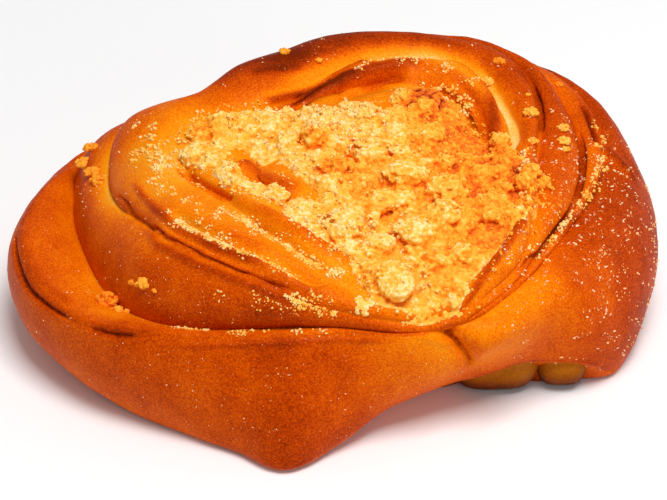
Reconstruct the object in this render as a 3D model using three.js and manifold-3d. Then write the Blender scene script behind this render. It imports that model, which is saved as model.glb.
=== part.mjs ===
// A swirled sweet bun: one piece of rolled dough, slit and opened, so that its layers lie as
// nested rims that run together in a notch at the front, with a heap of butter crumbs inside.
// Millimetres, +Z up, +X to the right, +Y to the back, origin on the floor under the middle.
import * as THREE from 'three';
import { mergeVertices } from 'three/addons/utils/BufferGeometryUtils.js';
import Module from 'manifold-3d';

// ---- driving sizes ------------------------------------------------------------------------
const WIDTH = 132; // across the bun, left to right
const HEIGHT = 42; // floor to the top of the highest rim
const CRUMB_GAP = 0.3; // between the dough and the heap of crumbs
const CLOSE_GAP = CRUMB_GAP / 3; // in the tightest grooves
const CRUMB_RISE = 0.2; // that the gap gains under the heap
const SEED = 20;

// The tables below are written at this size, and scaled from it to WIDTH and HEIGHT.
const DRAWN = { width: 132, height: 42 };
const ACROSS = WIDTH / DRAWN.width;
const UP = HEIGHT / DRAWN.height;

// ---- fold lines ---------------------------------------------------------------------------
// The lines where one layer of dough meets the next, from the floor inwards, each a closed
// ring of stations: [angle in degrees, distance from the middle, height]. Angle 0 is to the
// right and 90 to the back, so the notch at the front is near -57.
const FOLDS = {
  foot: [
    [-180, 57.5, 0], [-150, 52, 0], [-125, 47, 0], [-113, 46.8, 0], [-101, 49.2, 0],
    [-88, 42, 1.5], [-75, 38, 4.8], [-60, 38.4, 7.4], [-45, 42, 8.2], [-32, 47.5, 7.8],
    [-25, 55.5, 5.6], [-20, 58.5, 1], [0, 61.5, 0], [30, 61, 0], [60, 56, 0], [90, 51, 0],
    [120, 50, 0], [150, 55, 0],
  ],
  rim: [
    [-180, 64, 21], [-165, 61.7, 20], [-150, 55.9, 20.5], [-135, 48, 22.3], [-120, 42.2, 23.5],
    [-90, 37.2, 25.8], [-64, 40.6, 25], [-57, 40.2, 24.4], [-52, 41.6, 25], [-40, 42.6, 26.2],
    [-15, 45, 27], [0, 49.5, 28], [15, 56.3, 28.7], [30, 61, 30.5], [50, 59, 32], [90, 54, 24],
    [120, 51, 18], [150, 61, 21.2], [165, 62.6, 21],
  ],
  ledge: [
    [-180, 50, 17], [-150, 45.7, 19.3], [-135, 42.5, 21], [-120, 38, 23], [-90, 34.8, 25.2],
    [-60, 40.3, 24.5], [-40, 41.4, 26.5], [-15, 43, 28], [0, 47.5, 28.3], [15, 52.4, 30],
    [30, 56, 32.2], [44, 57.6, 36], [60, 57, 35], [90, 51, 30], [120, 46, 22], [139, 56, 18],
    [150.5, 60.6, 17.5], [163, 55.9, 17],
  ],
  step: [
    [-180, 42.6, 28.5], [-165, 38.2, 32], [-150, 37.5, 34], [-120, 34.8, 34.2], [-90, 35.6, 30],
    [-60, 39.6, 26.5], [-35, 41, 29], [0, 40.2, 32], [15, 42.6, 33], [30, 48.8, 34.4],
    [47, 55, 36.9], [65, 52.5, 36.7], [90, 47, 37], [120, 42, 33], [135, 40.5, 33],
    [150, 49, 31], [165, 46.8, 27],
  ],
  valley: [
    [-180, 28.8, 36], [-163, 24, 36], [-147, 22.2, 36], [-125, 23.2, 35.6], [-105, 26, 34.6],
    [-90, 30.5, 32.8], [-60, 36.5, 27], [-30, 36, 30.2], [0, 36.4, 32], [15, 37.4, 32.8],
    [30, 42, 33.6], [42, 43.8, 35.4], [54, 46.2, 37.2], [64, 45, 38], [75, 40.8, 38],
    [90, 33.3, 37.5], [105, 27.7, 36.3], [150, 28.6, 36.3],
  ],
  bed: [
    [-180, 15, 35], [-120, 13, 34.5], [-90, 20, 32.5], [-60, 28, 28.2], [-30, 31, 30], [0, 30, 32],
    [30, 33.8, 35], [45, 36, 36.5], [60, 35.2, 37], [90, 29, 36.5], [120, 22, 36],
    [150, 17, 35.5],
  ],
};
const BED_HEIGHT = 33.5; // of the dough under the middle of the crumbs

// ---- layers -------------------------------------------------------------------------------
// Each layer of dough swells out between two fold lines. crown holds [angle, how far it
// stands out from the straight line between them, where across it is fullest (0 to 1)], and
// power sets how square its shoulders are.
const LAYERS = [
  {
    name: 'wall', from: 'foot', to: 'rim', rows: 7, power: 0.8,
    crown: [
      [-180, 5, 0.5], [-150, 3.2, 0.5], [-120, 2.5, 0.5], [-64, 2.5, 0.52], [-57, 3, 0.6],
      [-50, 4.6, 0.73], [-35, 5.2, 0.6], [-15, 7.5, 0.5], [0, 9.4, 0.5], [20, 8.4, 0.5],
      [45, 6.6, 0.5], [90, 4.5, 0.5], [120, 4, 0.5], [150, 5, 0.5],
    ],
  },
  {
    name: 'outer rim', from: 'rim', to: 'ledge', rows: 5, power: 0.6,
    crown: [
      [-180, 2.7, 0.3], [-150, 1.6, 0.3], [-120, 0.8, 0.3], [-90, 0.5, 0.3], [-60, 0.4, 0.3],
      [-30, 0.8, 0.3], [0, 1.2, 0.3], [30, 2, 0.3], [90, 2, 0.3], [150, 2.4, 0.3],
    ],
  },
  {
    name: 'collar', from: 'ledge', to: 'step', rows: 5, power: 0.65,
    crown: [
      [-180, 3, 0.55], [-120, 2.5, 0.55], [-90, 1.5, 0.55], [-60, 1, 0.55], [-30, 1, 0.55],
      [0, 1.5, 0.55], [30, 2.5, 0.55], [90, 2, 0.55], [120, 1.5, 0.55], [150, 2.5, 0.55],
    ],
  },
  {
    name: 'petal', from: 'step', to: 'valley', rows: 8, power: 0.65,
    crown: [
      [-180, 4, 0.4], [-150, 3.5, 0.4], [-120, 3, 0.4], [-90, 1.8, 0.37], [-60, 1.4, 0.3],
      [-40, 2.6, 0.2], [0, 2.6, 0.25], [30, 3.2, 0.37], [60, 3.2, 0.4], [75, 4, 0.4],
      [90, 4.8, 0.4], [105, 6.1, 0.4], [119, 7.3, 0.4], [126, 6.6, 0.4],
      [136, 4.8, 0.4], [150, 4.3, 0.4],
    ],
  },
  {
    name: 'inner fold', from: 'valley', to: 'bed', rows: 4, power: 0.9,
    crown: [
      [-180, 2.2, 0.45], [-120, 2, 0.45], [-60, 1, 0.45], [-30, 1.5, 0.45], [30, 2.5, 0.45],
      [90, 2, 0.45],
    ],
  },
];
const BED_ROWS = 2; // rings of faces between the last fold line and the middle
const BED_CROWN = 3;
const SWELL_LIMIT = 0.62; // of the straight line's length
const SHOULDER = [ // [angle, height that the wall's top edge gains just outside the rim]
  [-180, 0.8], [-120, 0.5], [-62, 0.3], [-45, 1.2], [-20, 2.2], [0, 2], [20, 3], [43, 6],
  [65, 3.4], [90, 1.4], [150, 1],
];
const SHOULDER_PLACE = 0.8; // how far up the wall that shoulder is fullest

// ---- underside ----------------------------------------------------------------------------
const SOLE_ROWS = 3;
const SOLE_INSET = 4; // from the foot in to the flat sole
const UNDERCUT = 0.9; // further inset for each mm that the foot is lifted
const ARCH_FULL = 6; // height of the foot at which its underside is fully hollow
const ARCH_SHARE = 0.75;
const LIP = 1.5; // thickness of the wall's lower edge
// Ends of the rolled layers that show under the raised edge at the front right:
// [x, y, half-width, half-depth, half-height].
const TUCKED_ROLLS = [[32, -15.9, 9.2, 9.8, 6.2], [45.3, -14.4, 5.7, 9.6, 5.7]];
const ROLL_SUNK = 0.8; // depth to which their round undersides are pressed flat
const ROLL_SEGMENTS = [14, 8];

// ---- creases ------------------------------------------------------------------------------
const NOTCH = { top: -57.5, lean: 9, width: 1.8, depth: 2.2, from: 0.2 };
// Furrow in the petal's front: [angle, distance from the middle, depth].
const FURROW = [
  [-180, 38, 0], [-160, 37, 0.5], [-150, 35.8, 1.3], [-133, 34.2, 1.4], [-118, 33.5, 1.3],
  [-100, 34.6, 0.8], [-85, 36, 0], [90, 38, 0],
];
const FURROW_WIDTH = 1.1;

// ---- faces --------------------------------------------------------------------------------
const COLUMN_STEP = 4.5; // degrees between columns of faces
const NOTCH_STEP = 1.5; // and beside the notch
const NOTCH_REACH = [-66, -48];

// ---- small tools --------------------------------------------------------------------------
const MERGE_WITHIN = 1e-5; // distance below which two corners are one
const wasm = await Module();
wasm.setup();

const mix = (a, b, t) => a + (b - a) * t;
const wrap = (degrees) => ((degrees + 540) % 360) - 180;
const radians = (degrees) => THREE.MathUtils.degToRad(degrees);
const bell = (distance, width) => Math.exp(-((distance / width) ** 2));

function smooth(t) {
  const c = THREE.MathUtils.clamp(t, 0, 1);
  return c * c * (3 - 2 * c);
}

// One column of a ring of stations, read at any angle on a smooth closed curve.
function around(ring, column, degrees) {
  const angle = wrap(degrees);
  let before = ring.length - 1;
  while (ring[before][0] > angle) before -= 1;
  const station = (k) => {
    const turns = Math.floor(k / ring.length);
    const entry = ring[k - turns * ring.length];
    return [entry[0] + 360 * turns, entry[column]];
  };
  const [a, b, c, d] = [-1, 0, 1, 2].map((k) => station(before + k));
  const rise = (p, q) => (q[1] - p[1]) / (q[0] - p[0]);
  const slope = (p, q, r) =>
    (rise(p, q) * (r[0] - q[0]) + rise(q, r) * (q[0] - p[0])) / (r[0] - p[0]);
  const span = c[0] - b[0];
  const t = (angle - b[0]) / span;
  return (
    (2 * t ** 3 - 3 * t ** 2 + 1) * b[1] +
    (t ** 3 - 2 * t ** 2 + t) * span * slope(a, b, c) +
    (3 * t ** 2 - 2 * t ** 3) * c[1] +
    (t ** 3 - t ** 2) * span * slope(b, c, d)
  );
}

// Outline of a rounded roll, 0 at both ends and 1 where it is fullest.
function roll(t, fullest, power) {
  if (t <= 0 || t >= 1) return 0;
  return Math.sin(Math.PI * t ** (Math.log(0.5) / Math.log(fullest))) ** power;
}

function seededRandom(seed) {
  let state = seed;
  return () => {
    state = (state + 0x6d2b79f5) | 0;
    let t = Math.imul(state ^ (state >>> 15), 1 | state);
    t = (t + Math.imul(t ^ (t >>> 7), 61 | t)) ^ t;
    return ((t ^ (t >>> 14)) >>> 0) / 2 ** 32;
  };
}

// Smooth random relief of the plane, from -1 to 1, with bumps about 1 unit across.
function relief(x, y, seed) {
  const corner = (i, j) => {
    let h = Math.imul(i, 374761393) + Math.imul(j, 668265263) + Math.imul(seed, 974634777);
    h = Math.imul(h ^ (h >>> 13), 1274126177);
    return ((h ^ (h >>> 16)) >>> 0) / 2 ** 31 - 1;
  };
  const [i, j] = [Math.floor(x), Math.floor(y)];
  const [u, v] = [smooth(x - i), smooth(y - j)];
  return mix(
    mix(corner(i, j), corner(i + 1, j), u),
    mix(corner(i, j + 1), corner(i + 1, j + 1), u),
    v,
  );
}

// A closed skin over rings of points, all with the same number of columns, that starts and
// ends in a single point.
function ringedGeometry(firstPoint, rings, lastPoint) {
  const columns = rings[0].length;
  const last = rings.length * columns + 1;
  const place = (ring, column) => 1 + ring * columns + (column % columns);
  const faces = [];
  for (let c = 0; c < columns; c += 1) {
    faces.push(0, place(0, c + 1), place(0, c));
    for (let r = 0; r + 1 < rings.length; r += 1) {
      faces.push(place(r, c), place(r, c + 1), place(r + 1, c + 1));
      faces.push(place(r, c), place(r + 1, c + 1), place(r + 1, c));
    }
    faces.push(last, place(rings.length - 1, c), place(rings.length - 1, c + 1));
  }
  const geometry = new THREE.BufferGeometry();
  const points = [firstPoint, ...rings.flat(), lastPoint].flat();
  geometry.setAttribute('position', new THREE.Float32BufferAttribute(points, 3));
  geometry.setIndex(faces);
  return geometry;
}

function toSolid(geometry) {
  const bare = geometry.clone();
  bare.deleteAttribute('normal');
  bare.deleteAttribute('uv');
  const merged = mergeVertices(bare, MERGE_WITHIN);
  return new wasm.Manifold(new wasm.Mesh({
    numProp: 3,
    vertProperties: new Float32Array(merged.attributes.position.array),
    triVerts: new Uint32Array(merged.index.array),
  }));
}

function toGeometry(solid) {
  const { vertProperties, triVerts } = solid.getMesh();
  const geometry = new THREE.BufferGeometry();
  geometry.setAttribute('position', new THREE.BufferAttribute(vertProperties, 3));
  geometry.setIndex(new THREE.BufferAttribute(triVerts, 1));
  geometry.computeVertexNormals();
  return geometry;
}

// The largest body of a solid, without the loose scraps that a cut can leave.
function largestBody(solid) {
  const bodies = solid.decompose();
  return bodies.reduce((best, body) => (body.volume() > best.volume() ? body : best));
}

// ---- dough --------------------------------------------------------------------------------
// Point [distance from the middle, height] of one layer at an angle, a share t across it.
function layerPoint(layer, degrees, t) {
  const lip = layer.from === 'foot' ? LIP : 0;
  const start = [around(FOLDS[layer.from], 1, degrees), heightAt(layer.from, degrees) + lip];
  const end = [around(FOLDS[layer.to], 1, degrees), heightAt(layer.to, degrees)];
  const length = Math.hypot(end[0] - start[0], end[1] - start[1]);
  const outward = [(end[1] - start[1]) / length, -(end[0] - start[0]) / length];
  const fullest = around(layer.crown, 2, degrees);
  const swell = Math.min(
    around(layer.crown, 1, degrees) * roll(t, fullest, layer.power),
    SWELL_LIMIT * length * Math.sqrt(Math.sin(Math.PI * t)),
  );
  let r = mix(start[0], end[0], t) + outward[0] * swell;
  let z = mix(start[1], end[1], t) + outward[1] * swell;
  if (layer.name === 'wall') {
    z += around(SHOULDER, 1, degrees) * roll(t, SHOULDER_PLACE, 1);
    const crease = wrap(degrees - NOTCH.top - NOTCH.lean * (1 - t));
    r -= NOTCH.depth * bell(crease, NOTCH.width) * smooth((t - NOTCH.from) * 2);
  }
  if (layer.name === 'petal') {
    const offset = r - around(FURROW, 1, degrees);
    z -= around(FURROW, 2, degrees) * bell(offset, FURROW_WIDTH);
  }
  return [r, z];
}

function heightAt(fold, degrees) {
  return Math.max(0, around(FOLDS[fold], 2, degrees));
}

// Points up from the flat sole to the foot. Where the foot is raised the underside is hollow.
function solePoints(degrees) {
  const foot = [around(FOLDS.foot, 1, degrees), heightAt('foot', degrees)];
  const soleRadius = foot[0] - SOLE_INSET - UNDERCUT * foot[1];
  const hollow = ARCH_SHARE * smooth(foot[1] / ARCH_FULL);
  const points = [];
  for (let k = 0; k < SOLE_ROWS; k += 1) {
    const turn = (k / SOLE_ROWS) * (Math.PI / 2);
    const out = mix(Math.sin(turn), 1 - Math.cos(turn), hollow);
    const up = mix(1 - Math.cos(turn), Math.sin(turn), hollow);
    points.push([mix(soleRadius, foot[0], out), (foot[1] + LIP) * up]);
  }
  return points;
}

function bedPoint(degrees, t) {
  const r = around(FOLDS.bed, 1, degrees) * (1 - t);
  const z = mix(heightAt('bed', degrees), BED_HEIGHT, t) + BED_CROWN * Math.sin(Math.PI * t);
  return [r, z];
}

// Shares across a layer, closer together near its two ends.
function shares(rows) {
  return Array.from({ length: rows }, (_, k) => {
    const t = k / rows;
    return t - Math.sin(2 * Math.PI * t) / (4 * Math.PI);
  });
}

// The bun's outline from the sole, up the wall and over the rims to the middle.
function profile(degrees) {
  const points = solePoints(degrees);
  for (const layer of LAYERS) {
    for (const t of shares(layer.rows)) points.push(layerPoint(layer, degrees, t));
  }
  for (let k = 0; k < BED_ROWS; k += 1) points.push(bedPoint(degrees, k / BED_ROWS));
  return points;
}

function columnAngles() {
  const angles = [];
  for (let angle = -180; angle < 180;) {
    angles.push(angle);
    const nearNotch = angle >= NOTCH_REACH[0] && angle < NOTCH_REACH[1];
    angle += nearNotch ? NOTCH_STEP : COLUMN_STEP;
  }
  return angles;
}

function inSpace(degrees, [r, z]) {
  const angle = radians(degrees);
  return [r * Math.cos(angle) * ACROSS, r * Math.sin(angle) * ACROSS, z * UP];
}

function doughGeometry() {
  const profiles = columnAngles().map((degrees) =>
    profile(degrees).map((point) => inSpace(degrees, point)));
  const rings = profiles[0].map((_, row) => profiles.map((points) => points[row]));
  return ringedGeometry([0, 0, 0], rings, [0, 0, BED_HEIGHT * UP]);
}

// Height of the dough's top at a place on the plan.
function doughHeight(x, y) {
  const degrees = THREE.MathUtils.radToDeg(Math.atan2(y, x));
  const distance = Math.hypot(x, y);
  const points = profile(degrees);
  let highest = BED_HEIGHT;
  for (let k = 0; k + 1 < points.length; k += 1) {
    const [[r0, z0], [r1, z1]] = [points[k], points[k + 1]];
    const t = (distance - r0) / (r1 - r0);
    if (t >= 0 && t <= 1) highest = Math.max(highest, mix(z0, z1, t));
  }
  return highest;
}

function tuckedRoll([x, y, halfWidth, halfDepth, halfHeight]) {
  const geometry = new THREE.SphereGeometry(1, ...ROLL_SEGMENTS);
  geometry.rotateX(Math.PI / 2);
  geometry.scale(halfWidth * ACROSS, halfDepth * ACROSS, halfHeight * UP);
  geometry.translate(x * ACROSS, y * ACROSS, (halfHeight - ROLL_SUNK) * UP);
  const points = geometry.attributes.position;
  for (let k = 0; k < points.count; k += 1) points.setZ(k, Math.max(0, points.getZ(k)));
  return toSolid(geometry);
}

// ---- crumbs -------------------------------------------------------------------------------
const CRUMB_DENTS = [0.82, 1.12]; // by which each corner of a crumb is moved in or out

// A rough little lump with few faces.
function crumb(centre, size, random) {
  const geometry = mergeVertices(new THREE.IcosahedronGeometry(1, 0).deleteAttribute('normal')
    .deleteAttribute('uv'), MERGE_WITHIN);
  const points = geometry.attributes.position;
  for (let k = 0; k < points.count; k += 1) {
    const stretch = mix(CRUMB_DENTS[0], CRUMB_DENTS[1], random());
    points.setXYZ(
      k, points.getX(k) * stretch, points.getY(k) * stretch, points.getZ(k) * stretch,
    );
  }
  geometry.rotateZ(random() * Math.PI);
  geometry.rotateX(random() * Math.PI);
  geometry.scale(size[0] * ACROSS, size[1] * ACROSS, size[2] * UP);
  geometry.rotateZ(random() * Math.PI);
  geometry.translate(centre[0] * ACROSS, centre[1] * ACROSS, centre[2] * UP);
  return toSolid(geometry);
}

// Loose crumbs that lie apart on the rims: [angle, distance, half-width, flatness].
const LOOSE_CRUMBS = [
  [-156, 48.5, 1.9, 0.75], [-146, 44.2, 1.4, 0.8], [-151, 47.8, 0.8, 0.9],
  [155, 54.9, 1.5, 0.5], [158, 55.4, 1.6, 0.5], [163, 51.4, 1.5, 0.55], [166.5, 49.4, 1.3, 0.6],
  [28, 45.5, 1.4, 0.45], [18, 42.3, 0.9, 0.6], [23, 50.8, 1.1, 0.5], [19, 49.4, 1.2, 0.5],
  [46, 45.8, 1.2, 0.7], [3, 41.4, 1.7, 0.8], [4, 39.4, 1.5, 0.8], [47, 50.4, 1.1, 0.4],
  [105, 38.8, 1, 0.6],
];
const CRUMB_RAISED = 0.2; // of its half-width, the middle of a loose crumb above the dough
const CRUMB_OBLONG = [1.15, 0.85]; // its half-sizes along and across, for each half-width

function looseCrumbs(random) {
  return LOOSE_CRUMBS.map(([degrees, distance, size, flatness]) => {
    const x = distance * Math.cos(radians(degrees));
    const y = distance * Math.sin(radians(degrees));
    const z = doughHeight(x, y) + CRUMB_RAISED * size * flatness;
    const half = [size * CRUMB_OBLONG[0], size * CRUMB_OBLONG[1], size * flatness];
    return crumb([x, y, z], half, random);
  });
}

// The heap's edge round its own middle, where its top dives into the dough:
// [angle, distance].
const HEAP_EDGE = [
  [-180, 33.6], [-170, 31], [-160, 28], [-150, 25.4], [-140, 23], [-128, 21], [-118, 24.4],
  [-109, 27.4], [-98, 29], [-91, 32], [-86, 38], [-80, 42.2], [-69, 44], [-62, 43.2],
  [-55, 40.2], [-49, 39], [-37, 37.5], [-28, 37.5], [-17, 38.6], [-8, 38.4], [0, 36], [7, 31],
  [17, 27.6], [33, 27.6], [46, 27.4], [60, 26], [70, 20], [78, 16.4], [96, 13.6], [120, 16.8],
  [143, 26], [158, 31.8], [170, 33.6],
];
const HEAP = { x: 4, y: 6, middle: 35.8, dome: 1.2, depth: 9 };
const HEAP_SUNK = 0.35; // depth of the heap's edge in the dough
const HEAP_COVER = 1.6; // least thickness of the heap inside that edge
const HEAP_FOOT = 0.97; // of the heap's reach, how far out its underside reaches
const HEAP_COLUMNS = 48;
const HEAP_ROWS = 11;
const COARSE = { across: 5.5, height: 1.3, seed: 3 };
const FINE = { across: 2.6, height: 0.8, seed: 8 };
const EDGE_CALM = 0.6; // share of those bumps that is gone at the heap's edge
// Places where the dough stays bare: [x, y, half-width, depth below the heap].
const BARE = [
  [-18.4, 4.4, 3.2, 3], [-14.8, 1, 3.7, 3.6], [-11, -2.4, 3.8, 3.8], [-7.6, -5.4, 3.3, 3.2],
  [-5.4, -8, 2.6, 2.4], [9.3, 23.4, 4.2, 3],
];
// Named lumps: [x, y, height above the heap's top, half-sizes along x, y and z].
const BIG_LUMPS = [
  [11.4, -28.4, 0.4, 7, 4.2, 3.4], [-4.4, 7.9, 1.2, 2.4, 2.2, 2], [1.2, -0.2, 0.8, 3.4, 2.6, 2.4],
  [7.6, 6, 0.6, 5, 3.4, 2.6], [14, -2.6, 0.8, 5, 2.8, 2.8], [9.1, -8.8, 0.7, 4.2, 2.6, 2.4],
  [2.6, -16.6, 0.8, 5.6, 3.4, 2.6], [15.5, -17, 0.6, 4.4, 2.8, 2.4],
  [21.4, -12.4, 0.7, 3.8, 3, 2.4], [18.7, 23.2, 0.7, 3.6, 2.8, 2.2],
  [-12.8, 16.4, 0.4, 4.4, 2.6, 1.8], [4.6, -34.2, 0.5, 3.2, 1.7, 1.6],
];
const LUMPS = 44;
const LUMP_SIZE = [1.6, 3]; // half-width
const LUMP_SUNK = 0.35; // of its half-width
const LUMP_SHAPE = [1.15, 1, 0.8]; // its half-sizes for each half-width
const LUMP_REACH = 0.93; // of the heap's reach
const LUMP_STRAY = 20; // greatest angle by which a lump leaves the pattern
const GOLDEN_ANGLE = 137.508;

const reachOf = (degrees) => around(HEAP_EDGE, 1, degrees);

function onHeap(degrees, share) {
  const reach = reachOf(degrees) * share;
  return [HEAP.x + reach * Math.cos(radians(degrees)), HEAP.y + reach * Math.sin(radians(degrees))];
}

// Height of the heap's top, before its lumps, at an angle and a share out from its middle.
function heapTop(degrees, share) {
  const [x, y] = onHeap(degrees, share);
  const edge = doughHeight(...onHeap(degrees, 1)) - HEAP_SUNK;
  const bumps = COARSE.height * relief(x / COARSE.across, y / COARSE.across, COARSE.seed)
    + FINE.height * relief(x / FINE.across, y / FINE.across, FINE.seed);
  const level = mix(HEAP.middle, edge, share ** 2) + HEAP.dome * (1 - share ** 4)
    + bumps * (1 - EDGE_CALM * share ** 6);
  const cover = doughHeight(x, y) + HEAP_COVER * (1 - share ** 8) - HEAP_SUNK;
  const dips = BARE.map(([bx, by, wide, deep]) => deep * bell(Math.hypot(x - bx, y - by), wide));
  return [x, y, Math.max(level, cover) - Math.max(...dips)];
}

function heapCore() {
  const ring = (share, drop) => Array.from({ length: HEAP_COLUMNS }, (_, c) => {
    const [x, y, z] = heapTop((c / HEAP_COLUMNS) * 360 - 180, share);
    return [x * ACROSS, y * ACROSS, (z - drop) * UP];
  });
  const rings = [ring(HEAP_FOOT, HEAP.depth)];
  for (let r = 0; r < HEAP_ROWS; r += 1) rings.push(ring(1 - r / HEAP_ROWS, 0));
  const middle = heapTop(0, 0);
  const top = [middle[0] * ACROSS, middle[1] * ACROSS, middle[2] * UP];
  return toSolid(ringedGeometry([top[0], top[1], top[2] - HEAP.depth * 2], rings, top));
}

// Lumps of crumb spread evenly over the heap in a sunflower pattern, and the named ones.
function heapLumps(random) {
  const lumps = [];
  for (let k = 0; k < LUMPS; k += 1) {
    const share = LUMP_REACH * Math.sqrt((k + 0.5) / LUMPS);
    const [x, y, z] = heapTop(wrap(k * GOLDEN_ANGLE + LUMP_STRAY * random()), share);
    const size = mix(LUMP_SIZE[0], LUMP_SIZE[1], random() ** 1.5);
    const half = LUMP_SHAPE.map((share) => share * size);
    lumps.push(crumb([x, y, z - LUMP_SUNK * size], half, random));
  }
  for (const [x, y, above, ...half] of BIG_LUMPS) {
    const degrees = THREE.MathUtils.radToDeg(Math.atan2(y - HEAP.y, x - HEAP.x));
    const share = Math.hypot(x - HEAP.x, y - HEAP.y) / reachOf(degrees);
    lumps.push(crumb([x, y, heapTop(degrees, share)[2] + above], half, random));
  }
  return lumps;
}

// The dough grown by a gap and raised a little, which the heap is cut with.
function grownDough(gap) {
  const geometry = doughGeometry();
  geometry.computeVertexNormals();
  const points = geometry.attributes.position;
  const normals = geometry.attributes.normal;
  for (let k = 0; k < points.count; k += 1) {
    points.setXYZ(
      k,
      points.getX(k) + normals.getX(k) * gap,
      points.getY(k) + normals.getY(k) * gap,
      points.getZ(k) + normals.getZ(k) * gap + CRUMB_RISE,
    );
  }
  return toSolid(geometry);
}

// ---- pieces -------------------------------------------------------------------------------
function bunMesh(random) {
  let dough = toSolid(doughGeometry());
  for (const piece of [...TUCKED_ROLLS.map(tuckedRoll), ...looseCrumbs(random)]) {
    dough = dough.add(piece);
  }
  const material = new THREE.MeshStandardMaterial({
    color: 0xc4620f, roughness: 0.42, metalness: 0,
  });
  return new THREE.Mesh(toGeometry(largestBody(dough)), material);
}

// The second, closer cut clears what the first leaves in the tightest grooves.
function streuselMesh(random) {
  let heap = heapCore();
  for (const lump of heapLumps(random)) heap = heap.add(lump);
  heap = largestBody(heap.subtract(grownDough(CRUMB_GAP)).subtract(grownDough(CLOSE_GAP)));
  const material = new THREE.MeshStandardMaterial({
    color: 0xf2b64a, roughness: 0.85, metalness: 0,
  });
  return new THREE.Mesh(toGeometry(heap), material);
}

const random = seededRandom(SEED);
const bun = bunMesh(random);
bun.name = 'bun';
const streusel = streuselMesh(random);
streusel.name = 'streusel';

const group = new THREE.Group();
group.add(bun, streusel);

// The origin goes under the middle of the bun's box.
bun.geometry.computeBoundingBox();
const middle = bun.geometry.boundingBox.getCenter(new THREE.Vector3());
for (const mesh of [bun, streusel]) mesh.position.set(-middle.x, -middle.y, 0);

export default group;
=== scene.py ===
"""A swirled sweet bun on a pale studio floor.

One piece of rolled dough, slit and opened, whose layers lie as nested rims that run together
in a notch at the front, with a heap of butter crumbs inside. The tables are in millimetres on
a plan seen from above, with angle 0 to the right and 90 to the back.
"""
import functools
import itertools
import math

import bmesh
import bpy
import numpy as np
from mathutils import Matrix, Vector
from mathutils.bvhtree import BVHTree


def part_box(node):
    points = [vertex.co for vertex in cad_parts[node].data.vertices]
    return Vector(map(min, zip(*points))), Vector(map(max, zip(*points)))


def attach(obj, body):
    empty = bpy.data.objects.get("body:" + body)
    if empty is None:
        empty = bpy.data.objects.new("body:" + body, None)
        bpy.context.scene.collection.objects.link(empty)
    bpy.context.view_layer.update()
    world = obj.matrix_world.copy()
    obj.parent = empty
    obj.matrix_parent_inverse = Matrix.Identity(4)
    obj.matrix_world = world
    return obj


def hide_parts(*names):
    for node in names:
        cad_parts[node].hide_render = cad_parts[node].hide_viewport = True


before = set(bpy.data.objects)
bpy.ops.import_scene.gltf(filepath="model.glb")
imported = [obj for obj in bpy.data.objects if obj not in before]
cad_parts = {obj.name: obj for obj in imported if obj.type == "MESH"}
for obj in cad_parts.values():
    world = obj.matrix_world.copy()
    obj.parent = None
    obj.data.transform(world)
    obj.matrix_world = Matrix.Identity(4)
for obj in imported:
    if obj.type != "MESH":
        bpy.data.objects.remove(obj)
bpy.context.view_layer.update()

MM = 0.001
SEED = 20
OUTSIDE = 100  # mm from the middle, outside the bun on every side

# ---- fold lines ---------------------------------------------------------------------------
# The lines where one layer of dough meets the next, from the floor inwards, each a closed
# ring of stations: [angle, distance from the middle, height].
FOLDS = {
    "foot": [
        [-180, 57.5, 0], [-150, 52, 0], [-125, 47, 0], [-113, 46.8, 0], [-101, 49.2, 0],
        [-88, 42, 1.5], [-75, 38, 4.8], [-60, 38.4, 7.4], [-45, 42, 8.2], [-32, 47.5, 7.8],
        [-25, 55.5, 5.6], [-20, 58.5, 1], [0, 61.5, 0], [30, 61, 0], [60, 56, 0], [90, 51, 0],
        [120, 50, 0], [150, 55, 0],
    ],
    "rim": [
        [-180, 64, 21], [-165, 61.7, 20], [-150, 55.9, 20.5], [-135, 48, 22.3],
        [-120, 42.2, 23.5], [-90, 37.2, 25.8], [-64, 40.6, 25], [-57, 40.2, 24.4],
        [-52, 41.6, 25], [-40, 42.6, 26.2], [-15, 45, 27], [0, 49.5, 28], [15, 56.3, 28.7],
        [30, 61, 30.5], [50, 59, 32], [90, 54, 24], [120, 51, 18], [150, 61, 21.2],
        [165, 62.6, 21],
    ],
    "ledge": [
        [-180, 50, 17], [-150, 45.7, 19.3], [-135, 42.5, 21], [-120, 38, 23], [-90, 34.8, 25.2],
        [-60, 40.3, 24.5], [-40, 41.4, 26.5], [-15, 43, 28], [0, 47.5, 28.3], [15, 52.4, 30],
        [30, 56, 32.2], [44, 57.6, 36], [60, 57, 35], [90, 51, 30], [120, 46, 22],
        [139, 56, 18], [150.5, 60.6, 17.5], [163, 55.9, 17],
    ],
    "step": [
        [-180, 42.6, 28.5], [-165, 38.2, 32], [-150, 37.5, 34], [-120, 34.8, 34.2],
        [-90, 35.6, 30], [-60, 39.6, 26.5], [-35, 41, 29], [0, 40.2, 32], [15, 42.6, 33],
        [30, 48.8, 34.4], [47, 55, 36.9], [65, 52.5, 36.7], [90, 47, 37], [120, 42, 33],
        [135, 40.5, 33], [150, 49, 31], [165, 46.8, 27],
    ],
    "valley": [
        [-180, 28.8, 36], [-163, 24, 36], [-147, 22.2, 36], [-125, 23.2, 35.6],
        [-105, 26, 34.6], [-90, 30.5, 32.8], [-60, 36.5, 27], [-30, 36, 30.2], [0, 36.4, 32],
        [15, 37.4, 32.8], [30, 42, 33.6], [42, 43.8, 35.4], [54, 46.2, 37.2], [64, 45, 38],
        [75, 40.8, 38], [90, 33.3, 37.5], [105, 27.7, 36.3], [150, 28.6, 36.3],
    ],
    "bed": [
        [-180, 15, 35], [-120, 13, 34.5], [-90, 20, 32.5], [-60, 28, 28.2], [-30, 31, 30],
        [0, 30, 32], [30, 33.8, 35], [45, 36, 36.5], [60, 35.2, 37], [90, 29, 36.5],
        [120, 22, 36], [150, 17, 35.5],
    ],
}
BED_HEIGHT = 33.5  # of the dough under the middle of the crumbs
BED_CROWN = 3

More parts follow.
